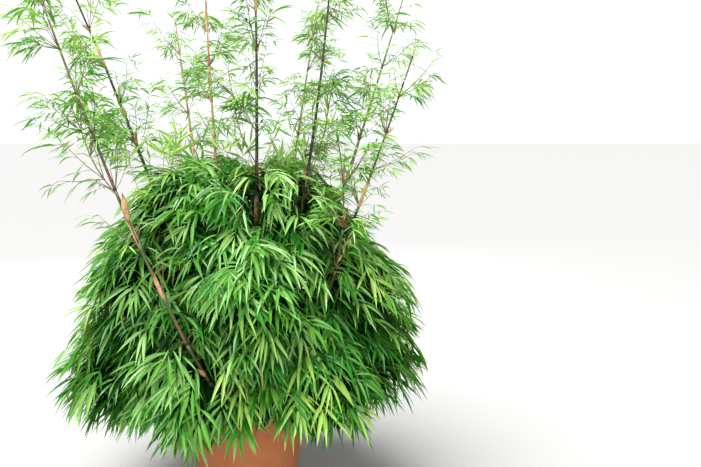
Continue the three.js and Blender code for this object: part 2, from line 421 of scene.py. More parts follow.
@dataclass(frozen=True)
class LeafBlade:
    """A thin satin bamboo leaf, lit through from behind, with a pale midrib and fine veins."""

    tint: Tint
    blade: str
    glow: str
    midrib: str
    roughness: float = 0.4
    through: float = 0.3
    specular: float = 0.8
    sheen: float = 0.14
    vein_count: float = 15.0

    def material(self) -> Material:
        """Builds the leaf on its own map: across the blade, then from stalk to tip.

        Returns:
            The material.
        """
        material, shader, add = new_material(f"leaf_{self.tint.value}")
        where = add("UVMap", uv_map=LEAF_MAP)
        across = add("SeparateXYZ", {"Vector": where}).outputs["X"]
        off_rib = add("Math", {0: across, 1: 0.5}, operation="SUBTRACT")
        distance = add("Math", {0: off_rib}, operation="ABSOLUTE")
        rib = add("MapRange", {"Value": distance, "From Min": 0.09, "From Max": 0.02, "To Max": 0.6})
        ribbed = add("Mix", {SHARE: rib, FIRST: self.blade, SECOND: self.midrib})
        turns = add("Math", {0: across, 1: self.vein_count * 2 * math.pi}, operation="MULTIPLY")
        veins = add("Math", {0: turns}, operation="SINE")
        bump = add("Bump", {"Height": veins, "Strength": 0.18, "Distance": 0.12 * MM})
        feed(shader, {"Base Color": ribbed, "Roughness": self.roughness, "IOR": 1.5, "Normal": bump,
                      "Specular IOR Level": self.specular, "Sheen Weight": self.sheen,
                      "Sheen Roughness": 0.35})
        lit_through = add("BsdfTranslucent", {"Color": self.glow})
        blend = add("MixShader", {0: self.through, 1: shader, 2: lit_through})
        feed(material.node_tree.nodes["Material Output"], {"Surface": blend})
        return material


LEAF_BLADES = (
    # The shade blade is painted shade: a near-black green with little shine, for leaves set in the crown's
    # shade.
    LeafBlade(Tint.SHADE, "#0a3606", "#1c5408", "#1c4c12", specular=0.2, sheen=0.0),
    LeafBlade(Tint.DEEP, "#226c10", "#409818", "#4c8e36", specular=0.6, sheen=0.04),
    LeafBlade(Tint.MID, "#4c8a26", "#74aa2a", "#7aac5c", sheen=0.1),
    LeafBlade(Tint.LIGHT, "#76a450", "#8eb846", "#a5c98c"),
    LeafBlade(Tint.LIME, "#90b850", "#a0c84c", "#bad48c", roughness=0.44, through=0.32),
    LeafBlade(Tint.STRAW, "#96824f", "#a8924f", "#ac9a70", roughness=0.6, through=0.2, specular=0.3),
)


# Modelling helpers


def deselect_all() -> None:
    """Leaves nothing selected, in object mode."""
    if bpy.context.object and bpy.context.object.mode != "OBJECT":
        bpy.ops.object.mode_set(mode="OBJECT")
    bpy.ops.object.select_all(action="DESELECT")


def pick(*pieces: Piece) -> None:
    """Makes pieces the only ones selected, and the first one active.

    Args:
        pieces: The objects to select.
    """
    deselect_all()
    for piece in pieces:
        piece.select_set(True)
    bpy.context.view_layer.objects.active = pieces[0]


@contextmanager
def edit_mode() -> Iterator[None]:
    """Holds the active object in edit mode.

    Returns:
        A context that leads back to object mode.
    """
    bpy.ops.object.mode_set(mode="EDIT")
    yield
    bpy.ops.object.mode_set(mode="OBJECT")


def select(piece: Piece, mode: str, wanted: Callable[..., bool]) -> None:
    """Selects the parts of a piece in edit mode that pass a test.

    Args:
        piece: The object in edit mode.
        mode: The parts to look at, VERT or FACE.
        wanted: The test of a part.
    """
    bpy.ops.mesh.select_mode(type=mode)
    bpy.ops.mesh.select_all(action="DESELECT")
    bpy.ops.object.mode_set(mode="OBJECT")
    for part in piece.data.vertices if mode == "VERT" else piece.data.polygons:
        part.select = wanted(part)
    bpy.ops.object.mode_set(mode="EDIT")


def resize_row(piece: Piece, height: float, shares: Place) -> None:
    """Resizes the row of vertices at one height of a piece in edit mode."""
    select(piece, "VERT", lambda vertex: abs(vertex.co.z - height) < ROW_GAP)
    bpy.ops.transform.resize(value=shares, center_override=(0, 0, height))


def add_modifier(piece: Piece, kind: str, **settings: object) -> None:
    """Adds a modifier to a piece and applies it.

    Args:
        piece: The object to change.
        kind: The modifier's type.
        settings: The modifier's properties.
    """
    pick(piece)
    modifier = piece.modifiers.new(kind.lower(), kind)
    for name, value in settings.items():
        setattr(modifier, name, value)
    bpy.ops.object.modifier_apply(modifier=modifier.name)


def roughen(piece: Piece, name: str, size: float, strength: float, **settings: object) -> None:
    """Displaces a piece by a cloud texture.

    Args:
        piece: The object to change.
        name: The texture's name.
        size: The size of its clouds.
        strength: How far it moves the surface.
        settings: Further properties of the modifier.
    """
    clouds = bpy.data.textures.new(name, "CLOUDS")
    clouds.noise_scale = size
    add_modifier(piece, "DISPLACE", texture=clouds, strength=strength, texture_coords="LOCAL", **settings)


def shade_smooth(piece: Piece, sharp_deg: float) -> None:
    """Shades a piece smoothly, apart from edges that turn more than an angle."""
    pick(piece)
    bpy.ops.object.shade_smooth_by_angle(angle=math.radians(sharp_deg))


def copy_of(piece: Piece, name: str) -> Piece:
    """A copy of a piece with a mesh of its own.

    Args:
        piece: The object to copy.
        name: The copy's name.

    Returns:
        The copy.
    """
    copy = piece.copy()
    copy.data = piece.data.copy()
    copy.name = name
    copy.data.name = name
    bpy.context.scene.collection.objects.link(copy)
    return copy


def settle(piece: Piece) -> None:
    """Puts a piece's place, turn and scale into its mesh."""
    pick(piece)
    bpy.ops.object.transform_apply(location=True, rotation=True, scale=True)


def dress(piece: Piece, material: Material, slot: Slot) -> None:
    """Gives a piece its one material, and lets it ride on the plant's body.

    Args:
        piece: The finished object.
        material: Its material.
        slot: The record's slot for it. Not used.
    """
    piece.data.materials.clear()
    piece.data.materials.append(material)
    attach(piece, BODY)


def mesh_piece(name: str, places: Array, faces: Array) -> Piece:
    """Makes an object of many like faces from arrays.

    Args:
        name: The object's name.
        places: The vertices, one row each.
        faces: The faces, one row of vertex numbers each. A triangle among quads repeats its last.

    Returns:
        The object, linked to the scene and smoothly shaded.
    """
    triangle = faces[:, -1] == faces[:, -2] if faces.shape[1] == 4 else np.zeros(len(faces), bool)
    sizes = np.where(triangle, 3, faces.shape[1])
    kept = np.ones(faces.shape, bool)
    kept[triangle, -1] = False
    mesh = bpy.data.meshes.new(name)
    mesh.vertices.add(len(places))
    mesh.vertices.foreach_set("co", places.astype(np.float32).ravel())
    mesh.loops.add(int(sizes.sum()))
    mesh.loops.foreach_set("vertex_index", faces[kept].astype(np.int32))
    mesh.polygons.add(len(faces))
    mesh.polygons.foreach_set("loop_start", (np.cumsum(sizes) - sizes).astype(np.int32))
    mesh.update(calc_edges=True)
    mesh.shade_smooth()
    piece = bpy.data.objects.new(name, mesh)
    bpy.context.scene.collection.objects.link(piece)
    return piece


def repeat_faces(single: Array, count: int, vertices: int) -> Array:
    """The faces of many like parts in one mesh, from one part's faces and its number of vertices."""
    return (np.arange(count)[:, None, None] * vertices + single).reshape(-1, single.shape[1])


def unit(rows: Array) -> Array:
    """Each row scaled to a length of 1."""
    return rows / np.maximum(np.linalg.norm(rows, axis=-1, keepdims=True), 1e-9)


def square_to(rows: Array, axes: Array) -> Array:
    """Each row with its share along the matching unit axis taken out, scaled to a length of 1."""
    return unit(rows - (rows * axes).sum(-1, keepdims=True) * axes)


def level_way(turn: float) -> Array:
    """The level direction at a turn round the middle, in radians."""
    return np.array([math.cos(turn), math.sin(turn), 0.0])


def nearest(places: Array, to: Array) -> Array:
    """The place that is nearest to another."""
    return places[np.argmin(np.linalg.norm(places - to, axis=1))]


def bend_at(start: Array, knee: Array, end: Array, share: float | Array) -> Array:
    """The place at a share of a line that bends from its start towards its knee and to its end."""
    return start * (1 - share) ** 2 + knee * 2 * share * (1 - share) + end * share ** 2


# Pot and soil


@dataclass
class Pot:
    """A turned clay pot with a raised band, modelled over the CAD pot's own sizes."""

    sides: int = 96
    foot_radius: float = 200 * MM
    wall: float = 22 * MM
    floor: float = 30 * MM
    band_height: float = 64 * MM
    band_proud: float = 12 * MM
    band_slope: float = 6 * MM
    outer_steps: int = 9
    inner_steps: int = 5
    wobble: float = 1.4 * MM
    wobble_size: float = 0.16
    edge_width: float = 4 * MM
    edge_angle_deg: float = 32.0
    high: Vector = field(init=False)

    def __post_init__(self) -> None:
        """Reads the pot's far corner from the frame."""
        self.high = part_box("pot")[1]

    def outer_radius(self, height: float) -> float:
        """The radius of the tapered wall, without the band, at a height."""
        under_rim = self.high.x - self.band_proud
        return self.foot_radius + (under_rim - self.foot_radius) * height / self.high.z

    def build(self) -> Piece:
        """Extrudes the pot up from its foot, over the rim and down to its floor.

        Returns:
            The finished pot.
        """
        deselect_all()
        bpy.ops.mesh.primitive_circle_add(
            vertices=self.sides, radius=self.foot_radius, fill_type="NGON", location=(0, 0, 0))
        piece = bpy.context.object
        piece.name = "clay_pot"
        radius, height = self.foot_radius, 0.0
        with edit_mode():
            bpy.ops.mesh.select_all(action="SELECT")
            for next_radius, next_height in self._rings():
                bpy.ops.mesh.extrude_region_move(
                    TRANSFORM_OT_translate={"value": (0, 0, next_height - height)})
                share = next_radius / radius
                bpy.ops.transform.resize(value=(share, share, 1), center_override=(0, 0, next_height))
                radius, height = next_radius, next_height
            bpy.ops.mesh.select_all(action="SELECT")
            bpy.ops.mesh.normals_make_consistent(inside=False)
        add_modifier(piece, "BEVEL", width=self.edge_width, segments=3, limit_method="ANGLE",
                     angle_limit=math.radians(self.edge_angle_deg))
        roughen(piece, "clay_wobble", self.wobble_size, self.wobble)
        for vertex in piece.data.vertices:
            vertex.co.z = max(vertex.co.z, 0.0)
        shade_smooth(piece, 40)
        dress(piece, FiredClay().material(), Slot.CLAY)
        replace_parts(piece, "pot")
        return piece

    def _rings(self) -> list[Range]:
        """The rings of the wall over its foot: up the outside, over the rim and down the inside.

        Returns:
            The radius and height of each ring.
        """
        top = self.high.z
        band_foot = top - self.band_height
        lift = band_foot / self.outer_steps
        drop = (top - self.floor) / self.inner_steps
        rings = [(self.outer_radius(lift * i), lift * i) for i in range(1, self.outer_steps + 1)]
        rings += [(self.high.x, band_foot + self.band_slope), (self.high.x, top)]
        return rings + [(self.outer_radius(top - drop * i) - self.wall, top - drop * i)
                        for i in range(self.inner_steps + 1)]


@dataclass
class SoilBed:
    """The potting soil: a plug with an uneven crumbly top, and loose crumbs and bark on it."""

    sides: int = 72
    rings: int = 13
    # The level disc inside the rings, in widths of a ring.
    middle_rings: float = 1.5
    # How much narrower the plug is for each metre down.
    taper: float = 0.178
    relief: float = 9 * MM
    # The clouds of the top: name, size and share of the relief. They leave its outer edge level.
    clouds: tuple[tuple[str, float, float], ...] = (("soil_heaps", 0.07, 1.0), ("soil_clods", 0.018, 0.5))
    level_edge: float = 2 * MM
    crumbs: int = 520
    crumb_size: Range = (2.0 * MM, 7.5 * MM)
    crumb_jitter: float = 0.35
    edge_gap: float = 12 * MM
    low: Vector = field(init=False)
    high: Vector = field(init=False)

    def __post_init__(self) -> None:
        """Reads the soil's box from the frame."""
        self.low, self.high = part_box("soil")

    def build(self, rng: Rng) -> list[Piece]:
        """Models the bed and scatters its crumbs.

        Args:
            rng: The seeded source of chance.

        Returns:
            The bed and its crumbs.
        """
        bed, crumbs = self._bed(), self._crumbs(rng)
        dress(bed, PottingSoil("moist_peat").material(), Slot.SOIL)
        dress(crumbs, PottingSoil("composted_bark", "#2e2117", "#6a4a2f", 9.0).material(), Slot.SOIL)
        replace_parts(bed, "soil")
        return [bed, crumbs]

    def _bed(self) -> Piece:
        """The plug of soil, its top inset ring by ring and then displaced.

        Returns:
            The bed.
        """
        deselect_all()
        depth = self.high.z - self.low.z
        bpy.ops.mesh.primitive_cone_add(
            vertices=self.sides, radius1=self.high.x - depth * self.taper, radius2=self.high.x,
            depth=depth, location=(0, 0, self.low.z + depth / 2), end_fill_type="NGON")
        bed = bpy.context.object
        bed.name = "soil_bed"
        settle(bed)
        with edit_mode():
            select(bed, "FACE", lambda face: face.normal.z > 0.9)
            for _ in range(self.rings):
                bpy.ops.mesh.inset(thickness=self.high.x / (self.rings + self.middle_rings), depth=0)
        top = [v.index for v in bed.data.vertices
               if v.co.z > self.high.z - MM and v.co.xy.length < self.high.x - self.level_edge]
        bed.vertex_groups.new(name="top").add(top, 1.0, "REPLACE")
        for name, size, share in self.clouds:
            roughen(bed, name, size, self.relief * share, mid_level=0.35, vertex_group="top", direction="Z")
        shade_smooth(bed, 50)
        return bed

    def _crumbs(self, rng: Rng) -> Piece:
        """Loose crumbs and chips, copies of one knobbly lump.

        Args:
            rng: The seeded source of chance.

        Returns:
            All crumbs as one object.
        """
        deselect_all()
        bpy.ops.mesh.primitive_ico_sphere_add(subdivisions=1, radius=1)
        lump = bpy.context.object
        with edit_mode():
            bpy.ops.transform.vertex_random(offset=self.crumb_jitter, seed=SEED)
        shape = np.array([v.co for v in lump.data.vertices])
        sides = np.array([list(f.vertices) for f in lump.data.polygons])
        bpy.data.objects.remove(lump)
        places = []
        reach = self.high.x - self.edge_gap
        ground = UP * (self.high.z + self.relief * 0.25)
        for _ in range(self.crumbs):
            radius, turn = reach * math.sqrt(rng.random()), rng.random() * 2 * math.pi
            size = rng.uniform(*self.crumb_size) * (0.5 + 0.5 * rng.random())
            stretch = np.array([1.0, rng.uniform(0.5, 1.0), rng.uniform(0.3, 0.7)]) * size
            spin = rng.random() * 2 * math.pi
            x, y, z = (shape * stretch).T
            cosine, sine = math.cos(spin), math.sin(spin)
            turned = np.stack([x * cosine - y * sine, x * sine + y * cosine, z], axis=1)
            places.append(turned + level_way(turn) * radius + ground)
        faces = repeat_faces(sides, self.crumbs, len(shape))
        return mesh_piece("soil_crumbs", np.concatenate(places), faces)


# Canes


@dataclass
class Limb:
    """A cane or bough as a smooth line, with its radius at foot and tip."""

    name: str
    line: Array
    foot_radius: float
    tip_radius: float
    joints: int
    kind: CaneKind
    # A limb keeps its thickness well up, then tapers: the higher the power, the later.
    taper_power: float = 1.6
    heading_step: float = 0.02

    def at(self, share: float | Array) -> Array:
        """The place at a share of the limb's length.

        Args:
            share: One share, or an array of them.

        Returns:
            The place, or a row for each share.
        """
        spot = np.clip(np.asarray(share, float), 0, 1) * (len(self.line) - 1)
        low = np.minimum(spot.astype(int), len(self.line) - 2)
        part = (spot - low)[..., None]
        return self.line[low] * (1 - part) + self.line[low + 1] * part

    def heading(self, share: float) -> Array:
        """The unit direction of growth at a share of the limb's length."""
        step = self.heading_step
        return unit(self.at(min(share + step, 1.0)) - self.at(max(share - step, 0.0)))

    def length(self) -> float:
        """The limb's length."""
        return float(np.linalg.norm(np.diff(self.line, axis=0), axis=1).sum())

    def radius(self, share: float) -> float:
        """The limb's radius at a share of its length."""
        return self.foot_radius + (self.tip_radius - self.foot_radius) * share ** self.taper_power


def smooth_line(knots: Array, count: int, steps: int = 16) -> Array:
    """Evenly spaced places on a smooth line through the knots.

    Args:
        knots: The places that the line passes through, in order.
        count: How many places to return.
        steps: The steps that the length is measured by, from knot to knot.

    Returns:
        The places, one row each.
    """
    padded = np.vstack([2 * knots[0] - knots[1], knots, 2 * knots[-1] - knots[-2]])
    dense = []
    for i in range(1, len(padded) - 2):
        a, b, c, d = padded[i - 1:i + 3]
        for t in np.linspace(0, 1, steps, endpoint=False):
            dense.append(0.5 * (2 * b + (c - a) * t + (2 * a - 5 * b + 4 * c - d) * t ** 2
                                + (3 * b - a - 3 * c + d) * t ** 3))
    dense = np.array(dense + [knots[-1]])
    run = np.concatenate([[0], np.cumsum(np.linalg.norm(np.diff(dense, axis=0), axis=1))])
    wanted = np.linspace(0, run[-1], count)
    return np.stack([np.interp(wanted, run, dense[:, k]) for k in range(3)], axis=1)


def limb_slices(node: str, levels: int, foot_gap: float = 0.5 * MM,
                tip_gap: float = 3 * MM) -> tuple[Array, Array]:
    """Reads a CAD limb's middle line and radius at evenly spaced heights.

    Args:
        node: The limb's CAD node.
        levels: How many heights to cut it at.
        foot_gap: How far over its foot the lowest cut is.
        tip_gap: How far under its tip the highest cut is.

    Returns:
        The middles, one row each, and the radii.
    """
    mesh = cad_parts[node].data
    places = np.array([v.co for v in mesh.vertices])
    edges = places[np.array([list(e.vertices) for e in mesh.edges])]
    low, high = places[:, 2].min(), places[:, 2].max()
    middles, radii = [], []
    for height in np.linspace(low + foot_gap, high - tip_gap, levels):
        crossing = (edges[:, 0, 2] - height) * (edges[:, 1, 2] - height) < 0
        start, end = edges[crossing, 0], edges[crossing, 1]
        part = ((height - start[:, 2]) / (end[:, 2] - start[:, 2]))[:, None]
        cut = start * (1 - part) + end * part
        middle = (cut.min(axis=0) + cut.max(axis=0)) / 2
        middles.append(middle)
        radii.append(np.linalg.norm(cut - middle, axis=1).min())
    return np.array(middles), np.array(radii)


def joint_share(share: float, crowding: float = 0.055, lift: float = 0.02) -> float:
    """Spaces the joints: closer at the foot and the tip than in the middle."""
    return share - crowding * math.sin(2 * math.pi * share) * (1 - share) - lift * math.sin(math.pi * share)


@dataclass
class CaneWorks:
    """Models one internode and makes every jointed cane from copies of it."""

    sides: int = 10
    zigzag: float = 1.1 * MM
    # How many tones the internodes may have, and the smoothness of a cane's bend.
    tones: int = 40
    path_steps: int = 6
    # Height in the internode and radius there: a scar under the joint, then its raised ridge.
    profile: tuple[Range, ...] = (
        (0.015, 1.03), (0.05, 0.98), (0.5, 0.96), (0.9, 1.0), (0.935, 1.05),
        (0.945, 1.16), (0.957, 1.02), (0.975, 1.2), (0.99, 1.12))
    skins: dict[CaneKind, Material] = field(init=False)
    internode: Piece = field(init=False)

    def __post_init__(self) -> None:
        """Makes the skins and models the internode."""
        self.skins = {skin.kind: skin.material() for skin in CANE_SKINS}
        deselect_all()
        bpy.ops.mesh.primitive_cylinder_add(
            vertices=self.sides, radius=1, depth=1, end_fill_type="NOTHING", location=(0, 0, 0.5))
        self.internode = bpy.context.object
        self.internode.name = "internode"
        settle(self.internode)
        with edit_mode():
            for height, _ in self.profile:
                bpy.ops.mesh.select_all(action="SELECT")
                bpy.ops.mesh.bisect(plane_co=(0, 0, height), plane_no=(0, 0, 1))
            for height, radius in self.profile:
                resize_row(self.internode, height, (radius, radius, 1))
        self._map_internode()

    def _map_internode(self) -> None:
        """Lays the cane's map: round the cane, then from joint to joint."""
        mesh = self.internode.data
        while mesh.uv_layers:
            mesh.uv_layers.remove(mesh.uv_layers[0])
        layer = mesh.uv_layers.new(name=CULM_MAP)
        for face in mesh.polygons:
            places = [mesh.vertices[vertex].co for vertex in face.vertices]
            turns = [math.atan2(co.y, co.x) / (2 * math.pi) % 1.0 for co in places]
            wraps = max(turns) - min(turns) > 0.5
            for corner, co, turn in zip(face.loop_indices, places, turns):
                layer.data[corner].uv = (turn + 1.0 if wraps and turn < 0.5 else turn, co.z)

    def _number_internodes(self, piece: Piece, first: int) -> None:
        """Moves each internode's map 2 along, so that each can have a tone of its own.

        Args:
            piece: The straight cane, one unit high for each internode.
            first: The lowest internode's number.
        """
        layer = piece.data.uv_layers[CULM_MAP]
        for face in piece.data.polygons:
            for corner in face.loop_indices:
                layer.data[corner].uv.x += 2 * (first + int(face.center.z))

    def make(self, limb: Limb, rng: Rng) -> Piece:
        """Makes one jointed cane along a limb.

        Args:
            limb: The limb to follow.
            rng: The seeded source of chance.

        Returns:
            The finished cane.
        """
        piece = copy_of(self.internode, limb.name)
        add_modifier(piece, "ARRAY", count=limb.joints, use_relative_offset=True,
                     relative_offset_displace=(0, 0, 1), use_merge_vertices=True, merge_threshold=ROW_GAP)
        self._number_internodes(piece, int(rng.integers(0, self.tones)))
        length = limb.length()
        leans = rng.uniform(-1, 1, (limb.joints + 1, 2)) * self.zigzag
        for vertex in piece.data.vertices:
            step = vertex.co.z
            joint = int(min(step, limb.joints - 1))
            drift = leans[joint] * (1 - (step - joint)) + leans[joint + 1] * (step - joint)
            vertex.co.x = vertex.co.x * limb.foot_radius + drift[0]
            vertex.co.y = vertex.co.y * limb.foot_radius + drift[1]
            vertex.co.z = joint_share(step / limb.joints) * length
        pick(piece)
        with edit_mode():
            bpy.ops.mesh.select_all(action="SELECT")
            bpy.ops.mesh.fill_holes(sides=0)
        path = self._path(limb)
        add_modifier(piece, "CURVE", object=path, deform_axis="POS_Z")
        bpy.data.objects.remove(path)
        shade_smooth(piece, 50)
        dress(piece, self.skins[limb.kind], Slot.CANE)
        return piece

    def _path(self, limb: Limb) -> Piece:
        """The curve that a cane is bent along, with the cane's taper as the radius of its points.

        Args:
            limb: The limb to follow.

        Returns:
            The curve.
        """
        deselect_all()
        bpy.ops.curve.primitive_bezier_curve_add(location=(0, 0, 0))
        path = bpy.context.object
        points = path.data.splines[0].bezier_points
        points.add(len(limb.line) - len(points))
        for i, (point, place) in enumerate(zip(points, limb.line)):
            point.co = place
            point.handle_left_type = "AUTO"
            point.handle_right_type = "AUTO"
            point.radius = limb.radius(i / (len(limb.line) - 1)) / limb.foot_radius
        path.data.use_radius = True
        path.data.twist_mode = "MINIMUM"
        path.data.resolution_u = self.path_steps
        return path


@dataclass
class SheathWorks:
    """Culm sheaths: some rolled round the cane over a joint, some dried to husks that stand off it."""

    outline: tuple[float, ...] = (0.96, 1.0, 1.0, 0.97, 0.9, 0.74, 0.46, 0.1)
    # How far the rows of a large husk stand out, from its foot at the joint to its point.
    flare: tuple[float, ...] = (0.34, 0.7, 0.94, 1.0, 0.96, 0.86, 0.74, 0.62)
    across: int = 8
    paper: float = 0.5 * MM
    clearance: float = 1.3 * MM
    under_joint: float = 0.02
    rolled_turn_deg: float = 330.0
    # The length of a rolled sheath is a share of its internode's.
    rolled_length: Range = (0.5, 0.85)
    husk_turn_deg: float = 190.0
    husk_length_mm: Range = (26, 52)
    husk_widening: float = 1.3
    husk_lean_deg: Range = (10, 30)
    flared_lean_deg: float = 9.0
    # The shares of a cane's joints with a rolled sheath and with a husk.
    shares: dict[CaneKind, Range] = field(default_factory=lambda: {
        CaneKind.DARK: (0.10, 0.4), CaneKind.AGED: (0.12, 0.0), CaneKind.TAN: (0.45, 0.3),
        CaneKind.GREEN: (0.3, 0.3)})
    # Husks that the photograph shows: the cane, the share of its length, the heading, the length, and how
    # many times wider than the cane.
    seen_husks: tuple[tuple[str, float, float, float, float], ...] = (
        ("cane_front_left", 0.563, -20.0, 92 * MM, 2.35), ("cane_front_left", 0.275, 200.0, 64 * MM, 1.3),
        ("cane_short_front", 0.77, -60.0, 40 * MM, 1.6), ("cane_short_front", 0.645, -140.0, 34 * MM, 1.6),
        ("cane_middle_back", 0.72, 190.0, 50 * MM, 1.6), ("cane_left", 0.66, -90.0, 60 * MM, 1.6))
    pieces: list[Piece] = field(default_factory=list)

    def build(self, limbs: dict[str, Limb], rng: Rng) -> Piece:
        """Sets sheaths over the joints of the tall canes.

        Args:
            limbs: The tall canes by CAD node.
            rng: The seeded source of chance.

        Returns:
            All sheaths as one object.
        """
        rolled = self._model("rolled_sheath", self.rolled_turn_deg)
        husk = self._model("husk", self.husk_turn_deg)
        flared = self._model("flared_husk", self.husk_turn_deg, self.flare)
        for limb in limbs.values():
            internode = limb.length() / limb.joints
            rolled_share, husk_share = self.shares[limb.kind]
            for joint in range(1, limb.joints - 1):
                share = joint_share((joint - self.under_joint) / limb.joints)
                draw, turn = rng.random(), rng.random() * 360
                if draw < rolled_share:
                    self._set(rolled, limb, share, turn, internode * rng.uniform(*self.rolled_length))
                elif draw < rolled_share + husk_share:
                    self._set(husk, limb, share, turn, rng.uniform(*self.husk_length_mm) * MM,
                              self.husk_widening, rng.uniform(*self.husk_lean_deg))
        for node, share, turn, length, widening in self.seen_husks:
            self._set(flared, limbs[node], share, turn, length, widening, self.flared_lean_deg)
        for model in (rolled, husk, flared):
            bpy.data.objects.remove(model)
        pick(*self.pieces)
        bpy.ops.object.join()
        sheaths = bpy.context.object
        sheaths.name = "culm_sheaths"
        settle(sheaths)
        add_modifier(sheaths, "SOLIDIFY", thickness=self.paper, offset=0)
        shade_smooth(sheaths, 50)
        dress(sheaths, DrySheath().material(), Slot.CANE)
        return sheaths

    def _model(self, name: str, turn_deg: float, flare: tuple[float, ...] = ()) -> Piece:
        """One sheath of height 1: a pointed sheet, rolled to a radius of 1 about its own height.

        Args:
            name: The model's name.
            turn_deg: How far round its foot reaches.
            flare: The radius of each row, where they differ.

        Returns:
            The model.
        """
        deselect_all()
        top_row = len(self.outline) - 1
        bpy.ops.mesh.primitive_grid_add(
            x_subdivisions=self.across, y_subdivisions=top_row, size=1,
            location=(0, 0, 0.5), rotation=(math.radians(90), 0, 0))
        sheet = bpy.context.object
        sheet.name = name
        sheet.data.uv_layers[0].name = SHEATH_MAP
        settle(sheet)
        with edit_mode():
            for row, width in enumerate(self.outline):
                resize_row(sheet, row / top_row, (width, 1, 1))
        turn = math.radians(turn_deg)
        radius = 1 / turn
        for vertex in sheet.data.vertices:
            angle = vertex.co.x * turn
            vertex.co.x = math.sin(angle) * radius
            vertex.co.y = math.cos(angle) * radius
        pick(sheet)
        bpy.ops.transform.resize(value=(turn, turn, 1), center_override=(0, 0, 0))
        settle(sheet)
        with edit_mode():
            for row, share in enumerate(flare):
                resize_row(sheet, row / top_row, (share, share, 1))
        return sheet

    def _set(self, model: Piece, limb: Limb, share: float, turn_deg: float, length: float,
             widening: float = 1.0, lean_deg: float = 0.0) -> None:
        """Sets one copy of a model over a joint.

        Args:
            model: The sheath to copy.
            limb: The cane that carries it.
            share: Where on the cane its foot is.
            turn_deg: Its turn round the cane.
            length: Its length.
            widening: How much wider than the cane it is.
            lean_deg: How far it stands off the cane.
        """
        copy = copy_of(model, "sheath")
        radius = limb.radius(share) * widening + self.clearance
        place = Matrix.Translation(Vector(limb.at(share)))
        upright = Vector(limb.heading(share)).to_track_quat("Z", "Y").to_matrix().to_4x4()
        turn = Matrix.Rotation(math.radians(turn_deg), 4, "Z")
        lean = Matrix.Rotation(math.radians(-lean_deg), 4, "X")
        size = Matrix.Diagonal((radius, radius, length, 1))
        copy.data.transform(place @ upright @ turn @ lean @ size)
        self.pieces.append(copy)


# Foliage


@dataclass
class TwigRows:
    """Tapering twigs that wait to be built: each row is a start, a knee, an end and two radii."""

    rows: dict[Zone, list[tuple]] = field(default_factory=dict)
    sides: int = 4
    steps: int = 3

    def add(self, zone: Zone, start: Array, knee: Array, end: Array, radii: Range) -> None:
        """Notes one twig by its zone, its line, and its radii at foot and tip."""
        self.rows.setdefault(zone, []).append((start, knee, end, *radii))

    def arch(self, zone: Zone, start: Array, bend: Array | float, end: Array, radii: Range) -> None:
        """Notes one twig whose knee is a bend away from the middle of its ends."""
        self.add(zone, start, (start + end) / 2 + bend, end, radii)

    def build(self) -> list[Piece]:
        """Builds the twigs of each zone as one mesh.

        Returns:
            One object for each zone.
        """
        fresh, old = FRESH_TWIGS.material(), OLD_TWIGS.material()
        sides, steps = self.sides, self.steps
        ring = np.array([(k, (k + 1) % sides, (k + 1) % sides + sides, k + sides) for k in range(sides)])
        single = np.concatenate([ring + step * sides for step in range(steps)])
        pieces = []
        for zone, rows in self.rows.items():
            start, knee, end, foot, tip = [np.array(column) for column in zip(*rows)]
            corners = []
            for t in np.linspace(0, 1, steps + 1):
                middle = bend_at(start, knee, end, t)
                heading = unit((knee - start) * (1 - t) + (end - knee) * t)
                aside = np.where(np.abs(heading[:, 2:]) > 0.8, [[1.0, 0.0, 0.0]], [[0.0, 0.0, 1.0]])
                across = square_to(aside, heading)
                over = np.cross(heading, across)
                radius = (foot * (1 - t) + tip * t)[:, None]
                for turn in [2 * math.pi * k / sides for k in range(sides)]:
                    corners.append(middle + radius * (across * math.cos(turn) + over * math.sin(turn)))
            places = np.stack(corners, axis=1).reshape(-1, 3)
            faces = repeat_faces(single, len(rows), sides * (steps + 1))
            piece = mesh_piece(f"twigs_{zone.value}", places, faces)
            dress(piece, old if zone is Zone.JOINT else fresh, Slot.CANE)
            pieces.append(piece)
        return pieces


@dataclass
class LeafShape:
    """The outline of one leaf: a narrow stalk end, its widest part a third of the way, a long thin tip."""

    stations: tuple[float, ...] = (0.09, 0.3, 0.56, 0.8)
    widths: tuple[float, ...] = (0.34, 1.0, 0.84, 0.44)
    fold: float = 0.24

    def faces(self) -> Array:
        """The faces of one leaf, with a triangle's last corner repeated.

        Returns:
            Four vertex numbers for each face.
        """
        last = 3 * len(self.stations) - 2
        tip = last + 3
        faces = [[0, 2, 1, 1], [0, 3, 2, 2]]
        for left in range(1, last, 3):
            rib, right = left + 1, left + 2
            faces += [[rib, rib + 3, left + 3, left], [rib, right, right + 3, rib + 3]]
        faces += [[last + 1, tip, last, last], [last + 1, last + 2, tip, tip]]
        return np.array(faces)

    def map(self) -> Array:
        """Each vertex's place on the leaf's map: across the blade, then from stalk to tip."""
        rows = [(across, station) for station in self.stations for across in (0.0, 0.5, 1.0)]
        return np.array([(0.5, 0.0), *rows, (0.5, 1.0)])

    def rib(self) -> Array:
        """True for each vertex on the midrib."""
        return np.array([True] + [False, True, False] * len(self.stations) + [True])


